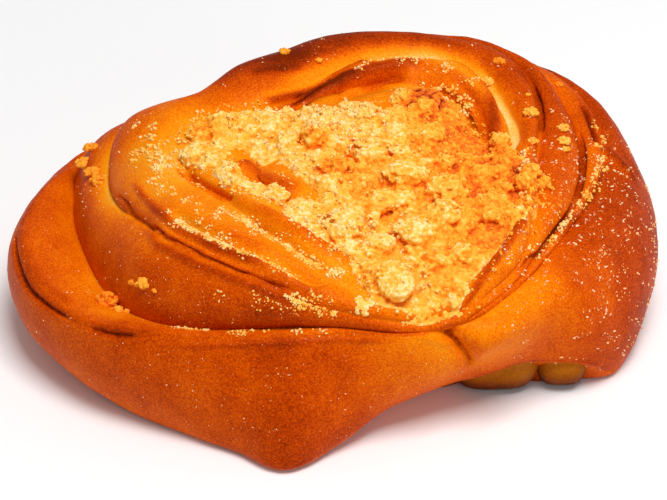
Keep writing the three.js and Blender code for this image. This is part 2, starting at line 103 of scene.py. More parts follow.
# ---- layers -------------------------------------------------------------------------------
# Each layer of dough swells out between two fold lines. crown holds [angle, how far it
# stands out from the straight line between them, where across it is fullest], and power
# sets how square its shoulders are.
LAYERS = [
    {
        "name": "wall", "from": "foot", "to": "rim", "rows": 42, "power": 0.8,
        "crown": [
            [-180, 5, 0.5], [-150, 3.2, 0.5], [-120, 2.5, 0.5], [-64, 2.5, 0.52],
            [-57, 3, 0.6], [-50, 4.6, 0.73], [-35, 5.2, 0.6], [-15, 7.5, 0.5], [0, 9.4, 0.5],
            [20, 8.4, 0.5], [45, 6.6, 0.5], [90, 4.5, 0.5], [120, 4, 0.5], [150, 5, 0.5],
        ],
    },
    {
        "name": "outer rim", "from": "rim", "to": "ledge", "rows": 26, "power": 0.6,
        "crown": [
            [-180, 2.7, 0.3], [-150, 1.6, 0.3], [-120, 0.8, 0.3], [-90, 0.5, 0.3],
            [-60, 0.4, 0.3], [-30, 0.8, 0.3], [0, 1.2, 0.3], [30, 2, 0.3], [90, 2, 0.3],
            [150, 2.4, 0.3],
        ],
    },
    {
        "name": "collar", "from": "ledge", "to": "step", "rows": 26, "power": 0.65,
        "crown": [
            [-180, 3, 0.55], [-120, 2.5, 0.55], [-90, 1.5, 0.55], [-60, 1, 0.55],
            [-30, 1, 0.55], [0, 1.5, 0.55], [30, 2.5, 0.55], [90, 2, 0.55], [120, 1.5, 0.55],
            [150, 2.5, 0.55],
        ],
    },
    {
        "name": "petal", "from": "step", "to": "valley", "rows": 36, "power": 0.65,
        "crown": [
            [-180, 4, 0.4], [-150, 3.5, 0.4], [-120, 3, 0.4], [-90, 1.8, 0.37],
            [-60, 1.4, 0.3], [-40, 2.6, 0.2], [0, 2.6, 0.25], [30, 3.2, 0.37], [60, 3.2, 0.4],
            [75, 4, 0.4], [90, 4.8, 0.4], [105, 6.1, 0.4], [119, 7.3, 0.4],
            [126, 6.6, 0.4], [136, 4.8, 0.4], [150, 4.3, 0.4],
        ],
    },
    {
        "name": "inner fold", "from": "valley", "to": "bed", "rows": 20, "power": 0.9,
        "crown": [
            [-180, 2.2, 0.45], [-120, 2, 0.45], [-60, 1, 0.45], [-30, 1.5, 0.45],
            [30, 2.5, 0.45], [90, 2, 0.45],
        ],
    },
]
BED_ROWS = 14
SWELL_LIMIT = 0.62  # of the straight line's length
SHOULDER = [  # [angle, height that the wall's top edge gains just outside the rim]
    [-180, 0.8], [-120, 0.5], [-62, 0.3], [-45, 1.2], [-20, 2.2], [0, 2], [20, 3], [43, 6],
    [65, 3.4], [90, 1.4], [150, 1],
]
SHOULDER_PLACE = 0.8  # how far up the wall that shoulder is fullest
NOTCH = {"top": -57.5, "lean": 9, "width": 1.8, "depth": 2.2, "from": 0.2}
# Furrow in the petal's front: [angle, distance from the middle, depth].
FURROW = [
    [-180, 38, 0], [-160, 37, 0.5], [-150, 35.8, 1.3], [-133, 34.2, 1.4], [-118, 33.5, 1.3],
    [-100, 34.6, 0.8], [-85, 36, 0], [90, 38, 0],
]
FURROW_WIDTH = 1.1

# ---- underside ----------------------------------------------------------------------------
FLOOR_ROWS = 6  # rings of faces on the flat sole
SOLE_ROWS = 9
SOLE_INSET = 4  # from the foot in to the flat sole
UNDERCUT = 0.9  # further inset for each mm that the foot is lifted
ARCH_FULL = 6  # height of the foot at which its underside is fully hollow
ARCH_SHARE = 0.75
LIP = 1.5  # thickness of the wall's lower edge
COLUMNS = 560  # of faces round the dough

# Ends of the rolled layers that show under the raised edge at the front right:
# [x, y, half-width, half-depth, half-height].
TUCKED_ROLLS = [[32, -15.9, 9.2, 9.8, 6.2], [45.3, -14.4, 5.7, 9.6, 5.7]]

# ---- creases and ridges -------------------------------------------------------------------
# Finer lines drawn into the top of the dough: height (below 0 for a crease), half-width,
# browning gained along it, and the line's [x, y] points. Along the creases and slits that
# browning is mostly painted shade, darkening them where less light falls in.
TOP_LINES = {
    "crease above the bead": [-1.5, 0.4, 0.24, [
        [-44, 2.6], [-40.4, -4.6], [-36.2, -11.6], [-32.2, -19.2], [-25, -25.8], [-18.4, -29.6],
        [-12, -32.2], [-5.4, -34.2],
    ]],
    "bead": [0.8, 0.7, 0.06, [
        [-36.8, -12.6], [-33.6, -20.4], [-25.8, -27.4], [-19, -31], [-12.6, -33.6], [-5, -35.6],
    ]],
    "petal's outer edge": [0.7, 0.8, 0.16, [
        [-40.6, 2], [-37.6, -5], [-33.6, -12.6], [-30, -18], [-23.4, -24], [-17, -27.8],
        [-10.6, -30.4],
    ]],
    "crumb furrow": [-2.3, 1.4, -0.2, [
        [-32.2, -13], [-29.8, -16.4], [-26, -20.2], [-20.4, -24.2], [-14.6, -26.8],
        [-9.6, -28.8], [-4.6, -31.4], [-1, -33.6],
    ]],
    "slit in the petal": [-1.9, 0.8, 0.4, [
        [-31, 3.6], [-28.6, 0], [-26.2, -3.2], [-22.8, -6.4], [-19, -9.4],
    ]],
    "split": [-1.4, 0.9, 0.02, [
        [-22, -11.6], [-18.6, -14.6], [-15, -17.2], [-11.2, -20], [-7.8, -23], [-3.4, -26.4],
        [0.6, -29],
    ]],
    "tongue": [2.2, 2.7, 0.2, [[-19.8, 3.4], [-15.6, 0], [-11, -3.9], [-6.4, -7.6]]],
    "strip": [1.7, 1.3, 0.04, [
        [-20.6, -7.8], [-16.4, -11.8], [-12, -15.4], [-7.6, -18.8], [-3.4, -21.8], [0.8, -24.6],
        [4.8, -28],
    ]],
    "upper back ridge": [1.1, 0.8, 0.3, [
        [-15.4, 23.3], [-11.8, 24.8], [-6.9, 27.6], [-2.4, 31.4], [3.4, 35.4], [9.6, 37.2],
    ]],
    "crease below that ridge": [-0.9, 0.5, 0.3, [
        [-9.4, 23], [-5.8, 25.6], [-1.8, 29.8], [2.4, 33],
    ]],
    "orange back ridge": [0.9, 1.5, 0.14, [
        [-6.4, 24.6], [-1.8, 28.2], [2.4, 31.4], [7.6, 34.4], [13.8, 36], [20, 36],
    ]],
    # painted shade: the hollow under the orange ridge is darkened along its length
    "shaded hollow under that ridge": [-1.5, 1.1, 0.25, [
        [0, 26], [3.6, 28.4], [7.6, 31.2], [11.4, 32.8], [15.4, 33],
    ]],
    "bare mound": [1.1, 2.1, -0.1, [[4, 21.6], [8, 24.2], [12, 26.6], [16, 28]]],
    "inner ridge": [1.2, 0.9, 0.18, [
        [21, 30], [24.8, 27.6], [27.3, 23.6], [28.6, 18.9], [29, 12],
    ]],
    "slit beside that ridge": [-1.5, 0.6, 0.25, [
        [24, 32.4], [27.4, 28.6], [29.6, 23.6], [30.8, 18], [30.6, 12.5],
    ]],
    "second ridge": [1, 1.1, 0.14, [
        [22, 39.6], [26.6, 37], [29.6, 33], [31.6, 28], [32.6, 22.6], [32.8, 17.2], [31.8, 11.8],
    ]],
    "cream valley": [-0.7, 1.2, -0.1, [
        [29.6, 37.6], [32.2, 32.8], [34, 28.4], [35.7, 24], [37, 20], [36.9, 15.6], [35.9, 11.8],
    ]],
    "slit beside the petal": [-1.5, 0.45, 0.35, [
        [37.2, 36.4], [40.1, 33.4], [41.6, 31.2], [42.4, 27.6], [42.6, 22.5], [42, 18.2],
    ]],
    "slit beside the rim": [-1.9, 0.5, 0.4, [
        [51.2, 31.5], [52.4, 27.6], [53.3, 22.6], [53.8, 19.8], [55, 18.2],
    ]],
    "fold over the wall": [0.8, 1.1, 0, [
        [54.6, 20.4], [56.3, 18.6], [58.5, 15.7], [60, 13.6], [61.4, 11.4],
    ]],
    "dip beside that fold": [-0.6, 1.3, 0.1, [[58.6, 20.6], [60.6, 17.4], [62.2, 14.2]]],
    "crust beside the crumbs": [0.9, 0.7, 0.24, [
        [37.6, -11], [35.2, -16.4], [32.6, -21.2], [30.4, -24.4], [28.4, -27], [26.2, -29.8],
        [23.8, -32.4],
    ]],
    "torn right edge": [0.7, 0.7, 0.12, [
        [55, 15.6], [53.6, 9.6], [51.8, 3.4], [49.4, -1.2], [46.6, -5], [43.8, -8.6], [41.2, -13],
        [39.2, -17.4],
    ]],
    "dark left crease": [-1.2, 0.45, 0.35, [
        [-64, 2.4], [-63.8, -3.6], [-62.4, -10], [-59.9, -15.9], [-56.8, -20.2], [-53.4, -23.9],
        [-49.9, -26.9],
    ]],
    "roll beside that crease": [0.5, 1, 0.02, [
        [-62, 2], [-61.4, -5], [-59.4, -11.6], [-56.6, -16.6], [-53, -20.6], [-49.4, -23.8],
    ]],
    "start of the front crease": [-1.1, 0.42, 0.35, [
        [-47, -29], [-44, -30.7], [-41.4, -31.9], [-37.6, -33],
    ]],
    "edge of the right rim": [-1.3, 0.5, 0.35, [
        [50.2, 24], [50.8, 19], [50.9, 15.2], [50, 8.4], [48.6, 1.6], [45.7, -4], [42.4, -10.4],
        [38.8, -16.8], [34.6, -24],
    ]],
    "lip of the notch": [0.6, 0.8, -0.05, [
        [15.6, -37.4], [20.6, -36.2], [24.4, -33.2], [28.6, -28.8],
    ]],
}
# The same on the wall, with [angle, height] points.
WALL_LINES = {
    "notch crease": [-1.6, 0.5, 0.35, [[-58, 24.6], [-56, 22], [-53.6, 18.6], [-50.6, 14.2]]],
    "first wrinkle": [0.22, 0.4, 0, [[-86, 22.6], [-82.4, 24.2], [-79, 25.4]]],
    "second wrinkle": [0.2, 0.35, 0, [[-86.4, 17.6], [-81.6, 18.5]]],
    "third wrinkle": [0.18, 0.35, 0, [[-93, 21.6], [-90.2, 22.3]]],
    "front lip": [0.35, 0.5, 0.04, [
        [-134, 21], [-122, 22.4], [-108, 23.6], [-94, 24.4], [-82, 24.6], [-72, 24.4],
    ]],
}
# Bands that are only browner or paler: half-width, browning, [x, y] points. On the face of
# the upper ridge that browning is partly painted shade.
TOP_BANDS = {
    "dark back crest": [3.4, 0.12, [
        [-25, 27], [-21.3, 30.6], [-15.2, 34], [-9, 35.4], [-4, 37.4],
    ]],
    "dark streak on it": [1, 0.16, [[-17.6, 29.4], [-13.1, 31.2], [-9.4, 32.2], [-5.6, 33.2]]],
    "browned and shaded face of the upper ridge": [1.2, 0.34, [
        [-9, 25.4], [-5, 27.6], [-1.4, 30.4], [2.2, 33], [5.4, 34.4],
    ]],
    "golden back slope": [2.2, -0.16, [
        [-13, 27.4], [-9, 30], [-5, 32.6], [0, 36], [6, 39], [13, 40.6], [20, 40.6], [26, 38.6],
    ]],
}
LINE_STEP = 0.5  # between points along a line
LINE_REACH = 3  # half-widths of a line, beyond which it isn't felt
LINE_FADE = 0.14  # share of a line over which it fades in and out
LINE_SMOOTHING = 8  # rounds in which each point moves to the mean of its neighbours

# ---- relief of the dough's skin: [how far across its bumps are, height] -------------------
SWELLS = [[17, 0.4], [8, 0.2], [3.4, 0.07], [1.5, 0.035]]
RELIEF_FULL = 3  # height above the floor from where the relief and the lines are at full depth

# ---- browning -----------------------------------------------------------------------------
# 0 is pale cream and 1 dark brown: [angle, at the layer's outer edge, halfway, inner edge].
BAKE = {
    "sole": [[-180, 0.72, 0.7, 0.62], [-60, 0.72, 0.7, 0.62], [60, 0.72, 0.7, 0.62]],
    "wall": [
        [-180, 0.62, 0.68, 0.7], [-120, 0.71, 0.73, 0.75], [-92, 0.82, 0.79, 0.77],
        [-76, 0.74, 0.62, 0.61], [-52, 0.7, 0.49, 0.47], [-30, 0.73, 0.62, 0.5],
        [-12, 0.79, 0.78, 0.7], [20, 0.74, 0.76, 0.82], [60, 0.72, 0.74, 0.8],
        [120, 0.64, 0.68, 0.74],
    ],
    "outer rim": [
        [-180, 0.73, 0.64, 0.5], [-150, 0.76, 0.58, 0.42], [-125, 0.72, 0.62, 0.5],
        [-90, 0.68, 0.62, 0.58], [-50, 0.66, 0.63, 0.58], [0, 0.68, 0.62, 0.58],
        [30, 0.74, 0.68, 0.64], [90, 0.76, 0.66, 0.5], [150, 0.74, 0.54, 0.4],
    ],
    "collar": [
        [-180, 0.7, 0.68, 0.3], [-165, 0.67, 0.67, 0.48], [-150, 0.7, 0.69, 0.62],
        [-110, 0.81, 0.79, 0.7], [-80, 0.8, 0.76, 0.68], [-50, 0.7, 0.62, 0.6],
        [-20, 0.6, 0.55, 0.55], [20, 0.72, 0.74, 0.76], [50, 0.74, 0.76, 0.8],
        [100, 0.76, 0.78, 0.78], [150, 0.62, 0.72, 0.6], [166, 0.62, 0.7, 0.26],
    ],
    "petal": [
        [-180, 0.62, 0.38, 0.31], [-150, 0.66, 0.5, 0.4], [-120, 0.72, 0.56, 0.42],
        [-90, 0.68, 0.54, 0.42], [-60, 0.6, 0.5, 0.42], [-30, 0.54, 0.48, 0.4],
        [20, 0.68, 0.66, 0.3], [50, 0.82, 0.78, 0.14], [75, 0.87, 0.88, 0.3],
        [100, 0.9, 0.9, 0.38], [130, 0.8, 0.68, 0.34],
    ],
    "inner fold": [
        [-180, 0.4, 0.42, 0.5], [-120, 0.42, 0.45, 0.42], [-60, 0.4, 0.4, 0.4],
        [0, 0.3, 0.52, 0.5], [40, 0.2, 0.58, 0.6], [70, 0.26, 0.62, 0.6],
        [100, 0.36, 0.7, 0.56], [140, 0.35, 0.5, 0.42],
    ],
    "bed": [[-180, 0.42, 0.4, 0.4], [-60, 0.4, 0.4, 0.4], [60, 0.5, 0.42, 0.4]],
}
CREST_BAKE = 0.16  # browning gained for each mm that the skin stands proud of its surroundings
CREST_LIMIT = [-0.16, 0.12]
CREST_REACH = 3  # rows and columns over which that is measured

# ---- crumbs -------------------------------------------------------------------------------
# The heap's edge round its own middle, where its top dives into the dough: [angle, distance].
HEAP_EDGE = [
    [-180, 33.6], [-170, 31], [-160, 28], [-150, 25.4], [-140, 23], [-128, 21], [-118, 24.4],
    [-109, 27.4], [-98, 29], [-91, 32], [-86, 38], [-80, 42.2], [-69, 44], [-62, 43.2],
    [-55, 40.2], [-49, 39], [-37, 37.5], [-28, 37.5], [-17, 38.6], [-8, 38.4], [0, 36], [7, 31],
    [17, 27.6], [33, 27.6], [46, 27.4], [60, 26], [70, 20], [78, 16.4], [96, 13.6], [120, 16.8],
    [143, 26], [158, 31.8], [170, 33.6],
]
HEAP = {"x": 4, "y": 6, "middle": 35.8, "dome": 1.2, "depth": 4}
HEAP_SUNK = 0.35  # depth of the heap's edge in the dough
HEAP_COVER = 1.3  # least thickness of the heap inside that edge
COVER_BUMPS = 0.4  # share of the heap's bumps that shows where it is that thin
EDGE_CALM = 0.6  # share of those bumps that is gone at the heap's edge
HEAP_FOOT = 0.97  # of the heap's reach, how far out its underside reaches
HEAP_LIMIT = 1.2  # of the heap's reach, beyond which its top runs on level
HEAP_COLUMNS = 180
HEAP_ROWS = 44
HEAP_LACE = {"across": 3.5, "share": 0.07}  # how unevenly the heap's edge runs
GOLDEN_ANGLE = 137.508
CLUMP_REACH = 0.97  # of the heap's reach, how far out its clumps lie
CORE_GRAIN_REACH = 1.01  # and the grains baked onto it
STRAY = 20  # greatest angle by which a clump or grain leaves the sunflower pattern
UNDERSIDE_CUT = 0.9  # share of the hidden underside's faces that is merged away
COARSE = {"across": 5.5, "height": 1.3, "seed": 3}
FINE = {"across": 2.6, "height": 0.8, "seed": 8}
CORE_GRAINS = 2600  # grains baked onto the heap between its clumps
# Places in the heap where the dough stays bare: [x, y, half-width, depth below the heap].
BARE = [
    [-18.4, 4.4, 3.2, 3], [-14.8, 1, 3.7, 3.6], [-11, -2.4, 3.8, 3.8], [-7.6, -5.4, 3.3, 3.2],
    [-5.4, -8, 2.6, 2.4], [9.3, 23.4, 4.2, 3], [22.5, 25.5, 3, 1.6],
]
CLUMPS = [[56, 2.2, 3.6], [170, 0.9, 1.9]]  # [how many, least and greatest half-width]
CLUMP_SUNK = 0.25  # of a clump's half-width, into the heap
CLUMP_UNEVEN = [0.75, 1.2]  # least and greatest stretch of a clump
CLUMP_SHAPE = [1.1, 1, 0.85]  # its half-sizes for each half-width
CLUMPS_END = 1  # depth of a bare place from where no clumps lie in it
CORE_SIZE = 0.9  # of a crumb's half-sizes, the body under its grains
CLUMP_GRAINS = 9  # on each square millimetre of half-width by half-depth
GRAIN_SIZE = [0.3, 0.7]  # half-width
GRAIN_UNEVEN = [0.8, 1.25]  # least and greatest stretch of a baked-on grain
# Relief of round granules on the fused crumbs: [how far across, height, seed].
GRANULES = [[1.3, 0.32, 20], [0.75, 0.24, 25]]
GRANULE_STRAY = 0.45  # of a granule's middle from the middle of its cell, in cells
GRANULE_REACH = 0.7  # square of a granule's half-width, in cells
GRAIN_SUNK = 0.4  # of a grain's half-width, into the clump that it is baked to
COMPACT_FROM = 3.2  # half-width of a clump from where its grains get finer
# Loose grains on the heap: [how many, lumps in each, least and greatest half-width].
LOOSE_GRAINS = [[1100, 3, 0.24, 0.6], [1500, 1, 0.14, 0.3]]
LOOSE_SPREAD = {"reach": 1.09, "even": 0.45}  # how far out and how evenly those grains lie
GRAINS_END = 1.2  # depth of a bare place from where few grains lie in it
ON_BARE = 0.15  # share of the grains that still lie there
GRAIN_SETTLED = [-0.45, 0.2]  # least and greatest height of a grain's middle, in half-widths
# Named clumps: [x, y, height above the heap's top, half-sizes along x, y and z, browning].
BIG_CLUMPS = [
    [11.4, -28.4, 0.4, 7, 4.2, 3.4, 0.16],
    [-4.4, 7.9, 1.2, 2.4, 2.2, 2, 0.88],
    [1.2, -0.2, 0.8, 3.4, 2.6, 2.4, 0.6],
    [7.6, 6, 0.6, 5, 3.4, 2.6, 0.16],
    [14, -2.6, 0.8, 5, 2.8, 2.8, 0.3],
    [9.1, -8.8, 0.7, 4.2, 2.6, 2.4, 0.34],
    [2.6, -16.6, 0.8, 5.6, 3.4, 2.6, 0.12],
    [15.5, -17, 0.6, 4.4, 2.8, 2.4, 0.22],
    [21.4, -12.4, 0.7, 3.8, 3, 2.4, 0.3],
    [8.6, -20.6, 0.5, 3, 2.2, 2.2, 0.08],
    [18.7, 23.2, 0.7, 3.6, 2.8, 2.2, 0.85],
    [-26.4, 13.4, 0.4, 3.2, 2.6, 1.6, 0.5],
    [-12.8, 16.4, 0.4, 4.4, 2.6, 1.8, 0.2],
    [4.6, -34.2, 0.5, 3.2, 1.7, 1.6, 0.1],
    [33.5, 12.5, 0.6, 2.2, 1.8, 1.8, 0.4],
]
LOWEST_CRUMB = 26  # height below which no crumbs from the heap lie
VOXEL = 0.3  # size to which the baked-together crumbs are fused
HIDDEN_DEPTH = 1.6  # below the heap's top, from where its underside is hidden in the dough
# How browned the crumbs are: [x, y, half-width of the place, browning].
TOAST = [
    [8, -6, 17, 0.18], [-4, 14, 12, 0.07], [-26, 12, 9, 0.22], [14, -26, 12, 0.12],
    [30, 4, 9, 0.52], [32, -12, 9, 0.5], [26, 22, 9, 0.54], [14, 26, 7, 0.22],
    [28, -22, 8, 0.4], [20, -32, 6, 0.36],
]
TOAST_LEAST = 0.02  # browning far from all of those places, and added in them too
TOAST_FADE = 0.02  # weight of a place at which its browning has fallen to half
CLUMP_TOAST = 1.1  # half-sizes of a named clump over which its own browning fades
TOAST_PATCHES = [[6, 0.1], [1.6, 0.08]]  # [how far across, browning]
TOAST_SEEDS = {"bed": 31, "grains": 41}
# Painted shade gained in hollows, for each mm of depth below the mean of the surroundings,
# which are walked out over so many rounds of edges: [rounds, darkening].
HOLLOW_SHADE = [[9, 0.22], [110, 0.26]]
PALEST_CRUMB = 0.08
SIDE_SHADE = 0.2  # painted shade gained from a crumb's top to its sides, which get less light
GRAIN_SIDE_SHADE = 0.06  # that painted shade on loose grains, which let light through
GRAIN_PALER = 0.14  # how much less browned those grains are

# How deeply each kind is dented and its dents, [how far across, share of that depth], all of
# its half-width.
ROUGHNESS = {
    "clump": 0.2, "crumb": 0.3, "baked grain": 0.3, "grain of a crumb": 0.4, "chip": 0.45,
    "flake": 0.6,
}
DENTS = [[0.9, 1], [0.45, 0.5]]
DENTS_FROM = 500  # each reads its dents at its own place in the relief, up to so far off
# Powers above 1, by which small ones are more common than large ones.
FEWER_LARGE = {"baked grain": 1.5, "loose grain": 1.6, "trail": 2, "flake": 1.8}
# In a chip of several lumps: how far they lie apart and their size, of the chip's half-width.
LUMPS_APART = 0.5
LUMP_SIZE = 0.7
LOWEST_GRAIN = -0.25  # upward share of the lowest direction in which grains sit on a clump
UNEVEN = [0.7, 1.3]  # least and greatest stretch of a loose grain, small crumb or flake


# ---- small tools --------------------------------------------------------------------------
def mix(a, b, t):
    return a + (b - a) * t


def smooth(t):
    clipped = np.clip(t, 0, 1)
    return clipped * clipped * (3 - 2 * clipped)


def bell(distance, width):
    return np.exp(-((distance / width) ** 2))


def around(stations, column, degrees):
    """One column of a closed ring of stations, read at any angles on a smooth curve."""
    table = np.array(stations, float)
    angles = np.concatenate([table[-2:, 0] - 360, table[:, 0], table[:3, 0] + 360])
    values = np.concatenate([table[-2:, column], table[:, column], table[:3, column]])
    spans = np.diff(angles)
    rises = np.diff(values) / spans
    slopes = np.zeros(len(angles))
    slopes[1:-1] = (rises[:-1] * spans[1:] + rises[1:] * spans[:-1]) / (spans[1:] + spans[:-1])
    turned = (np.asarray(degrees, float) + 180) % 360 - 180
    k = np.clip(np.searchsorted(angles, turned, side="right") - 1, 1, len(angles) - 3)
    t = (turned - angles[k]) / spans[k]
    return (
        (2 * t ** 3 - 3 * t ** 2 + 1) * values[k]
        + (t ** 3 - 2 * t ** 2 + t) * spans[k] * slopes[k]
        + (3 * t ** 2 - 2 * t ** 3) * values[k + 1]
        + (t ** 3 - t ** 2) * spans[k] * slopes[k + 1]
    )


def roll(t, fullest, power):
    """Outline of a rounded roll, 0 at both ends and 1 where it is fullest."""
    if t <= 0 or t >= 1:
        return np.zeros_like(np.asarray(fullest, float))
    bend = np.log(0.5) / np.log(fullest)
    return np.sin(math.pi * t ** bend) ** power


def hashed(cell, seed):
    """A fixed random number from -1 to 1 for each cell of a grid in space."""
    i, j, k = cell.T
    mixed = (i * 374761393 + j * 668265263 + k * 83492791 + seed * 974634777) & 0xFFFFFFFF
    mixed = ((mixed ^ (mixed >> 13)) * 1274126177) & 0xFFFFFFFF
    return (mixed ^ (mixed >> 16)) / 2 ** 31 - 1


def relief(points, across, seed):
    """Smooth random relief at points in space, from -1 to 1, with bumps about so far across."""
    grid = np.asarray(points, float) / across
    cell = np.floor(grid).astype(np.int64)
    part = smooth(grid - cell)
    total = np.zeros(len(grid))
    for corner in itertools.product((0, 1), repeat=3):
        weight = np.prod(np.where(corner, part, 1 - part), axis=1)
        total += hashed(cell + corner, seed) * weight
    return total


def granules(points, across, seed):
    """Relief of packed round granules about so far across, 0 between them and 1 on top."""
    grid = np.asarray(points, float) / across
    cell = np.floor(grid).astype(np.int64)
    nearest = np.full(len(grid), np.inf)
    for step in itertools.product((-1, 0, 1), repeat=3):
        near = cell + step
        shift = np.stack([hashed(near, seed + k) for k in range(3)], 1)
        gap = grid - near - 0.5 - GRANULE_STRAY * shift
        nearest = np.minimum(nearest, (gap ** 2).sum(1))
    return 1 - np.minimum(1, nearest / GRANULE_REACH)


def skewed(random, ends, power, shape=None):
    """Random sizes between the least and the greatest, more of them small."""
    return mix(*ends, random.uniform(0, 1, shape) ** power)


def placed(points):
    """Points of the tables' millimetres, in metres in the bun's own frame."""
    return (np.asarray(points, float) - DRAWN_MIDDLE) * SCALE + FRAME_MIDDLE


def in_scene(name, data):
    """A new object with this mesh, camera or light."""
    made = bpy.data.objects.new(name, data)
    bpy.context.scene.collection.objects.link(made)
    return made


def make_object(name, points, faces, smooth_faces=True):
    """A mesh object from points in the tables' millimetres."""
    mesh = bpy.data.meshes.new(name)
    mesh.from_pydata(placed(points).tolist(), [], [tuple(face) for face in faces])
    mesh.validate()
    mesh.update()
    mesh.polygons.foreach_set("use_smooth", [smooth_faces] * len(mesh.polygons))
    return in_scene(name, mesh)


def with_modifiers(piece):
    """The mesh that a piece's modifiers make of it."""
    graph = bpy.context.evaluated_depsgraph_get()
    return bpy.data.meshes.new_from_object(piece.evaluated_get(graph))


def vertex_values(piece, kind):
    """Three numbers for each of a piece's vertices, such as its place or its normal."""
    found = np.zeros(len(piece.data.vertices) * 3)
    piece.data.vertices.foreach_get(kind, found)
    return found.reshape(-1, 3)


def piece_points(piece):
    """A piece's points in the tables' millimetres."""
    return (vertex_values(piece, "co") - FRAME_MIDDLE) / SCALE + DRAWN_MIDDLE


def piece_normals(piece):
    return vertex_values(piece, "normal")


def give_values(piece, name, values):
    """Stores one number for each of the piece's vertices, for its material to read."""
    attribute = piece.data.attributes.new(name, "FLOAT", "POINT")
    attribute.data.foreach_set("value", np.asarray(values, np.float32))


# ---- dough --------------------------------------------------------------------------------
ANGLES = np.arange(COLUMNS) * 360 / COLUMNS - 180


def fold_line(name):
    return around(FOLDS[name], 1, ANGLES), np.maximum(0, around(FOLDS[name], 2, ANGLES))


def layer_row(layer, share):
    """Distances and heights all round one layer, a share of the way across it."""
    start_r, start_z = fold_line(layer["from"])
    end_r, end_z = fold_line(layer["to"])
    if layer["name"] == "wall":
        start_z = start_z + LIP
    length = np.hypot(end_r - start_r, end_z - start_z)
    fullest = around(layer["crown"], 2, ANGLES)
    swell = np.minimum(
        around(layer["crown"], 1, ANGLES) * roll(share, fullest, layer["power"]),
        SWELL_LIMIT * length * math.sqrt(max(0, math.sin(math.pi * share))),
    )
    r = mix(start_r, end_r, share) + (end_z - start_z) / length * swell
    z = mix(start_z, end_z, share) - (end_r - start_r) / length * swell
    if layer["name"] == "wall":
        z = z + around(SHOULDER, 1, ANGLES) * roll(share, SHOULDER_PLACE, 1)
        across = (ANGLES - NOTCH["top"] - NOTCH["lean"] * (1 - share) + 180) % 360 - 180
        dent = bell(across, NOTCH["width"]) * smooth((share - NOTCH["from"]) * 2)
        r = r - NOTCH["depth"] * dent
    if layer["name"] == "petal":
        offset = r - around(FURROW, 1, ANGLES)
        z = z - around(FURROW, 2, ANGLES) * bell(offset, FURROW_WIDTH)
    return r, z


def sole_row(share):
    """Distances and heights up from the flat sole to the foot, hollow where it is raised."""
    foot_r, foot_z = fold_line("foot")
    sole_r = foot_r - SOLE_INSET - UNDERCUT * foot_z
    hollow = ARCH_SHARE * smooth(foot_z / ARCH_FULL)
    turn = share * math.pi / 2
    out = mix(math.sin(turn), 1 - math.cos(turn), hollow)
    up = mix(1 - math.cos(turn), math.sin(turn), hollow)
    return mix(sole_r, foot_r, out), (foot_z + LIP) * up


def bed_row(share):
    bed_r, bed_z = fold_line("bed")
    z = mix(bed_z, BED_HEIGHT, share) + BED_CROWN * math.sin(math.pi * share)
    return bed_r * (1 - share), z


def gathered(rows):
    """Shares across a layer, closer together near its two ends."""
    t = np.arange(rows) / rows
    return t - np.sin(2 * math.pi * t) / (4 * math.pi)


def dough_rows():
    """Every row of the dough's skin as (layer's name, share across it, distances, heights)."""
    rows = []
    sole_r, sole_z = sole_row(0)
    for k in range(1, FLOOR_ROWS):
        rows.append(("sole", 0.0, sole_r * k / FLOOR_ROWS, sole_z))
    for k in range(SOLE_ROWS):
        rows.append(("sole", k / SOLE_ROWS, *sole_row(k / SOLE_ROWS)))
    for layer in LAYERS:
        for share in gathered(layer["rows"]):
            rows.append((layer["name"], share, *layer_row(layer, share)))
    for k in range(BED_ROWS):
        rows.append(("bed", k / BED_ROWS, *bed_row(k / BED_ROWS)))
    return rows


def skin_faces(rows, columns):
    """Faces over rows of points that start and end in a single point."""
    faces = []
    last = rows * columns + 1
    for c in range(columns):
        d = (c + 1) % columns
        faces.append((0, 1 + d, 1 + c))
        faces.append((last, last - columns + c, last - columns + d))
        for low in range(1, last - columns, columns):
            faces.append((low + c, low + d, low + columns + d, low + columns + c))
    return faces


def in_triangles(faces):
    """The same faces, with each of more than three corners cut into triangles."""
    return np.array([[face[0], *edge] for face in faces for edge in zip(face[1:], face[2:])])


def grid_normals(grid):
    """Outward normals of a skin given as rows by columns of points."""
    along = np.roll(grid, -1, axis=1) - np.roll(grid, 1, axis=1)
    up = np.gradient(grid, axis=0)
    normals = np.cross(along, up)
    return normals / np.maximum(np.linalg.norm(normals, axis=2, keepdims=True), 1e-9)


def walked(points):
    """Points at even steps along a line through the given ones."""
    points = np.array(points, float)
    lengths = np.linalg.norm(np.diff(points, axis=0), axis=1)
    along = np.concatenate([[0], np.cumsum(lengths)])
    steps = np.linspace(0, along[-1], max(3, int(along[-1] / LINE_STEP)))
    return np.stack([np.interp(steps, along, points[:, k]) for k in range(points.shape[1])], 1)


def dropped(tree, x, y):
    """The highest point of a skin at a place on the plan, or None beside it."""
    return tree.ray_cast(Vector((x, y, OUTSIDE)), Vector((0, 0, -1)))[0]


def pressed(tree, degrees, height):
    """The point of the wall at an angle and a height."""
    angle = math.radians(degrees)
    out = Vector((math.cos(angle), math.sin(angle), 0))
    return tree.ray_cast(out * OUTSIDE + Vector((0, 0, height)), -out)[0]


def found_line(find, tree, plan):
    """The line on the skin through places on the plan, without the jumps at its steps."""
    line = np.array([point for point in (find(tree, *place) for place in walked(plan)) if point])
    for _ in range(LINE_SMOOTHING):
        line[1:-1] = (line[:-2] + 2 * line[1:-1] + line[2:]) / 4
    return line


def along_line(points, line, width):
    """How near each point is to a line on the skin, from 1 on it to 0 beside it."""
    low, high = line.min(0) - LINE_REACH * width, line.max(0) + LINE_REACH * width
    near = np.nonzero(np.all((points > low) & (points < high), axis=1))[0]
    gaps = np.linalg.norm(points[near][:, None] - line[None], axis=2)
    place = gaps.argmin(1) / (len(line) - 1)
    share = np.zeros(len(points))
    share[near] = smooth(place / LINE_FADE) * smooth((1 - place) / LINE_FADE)
    share[near] *= bell(gaps.min(1), width)
    return share


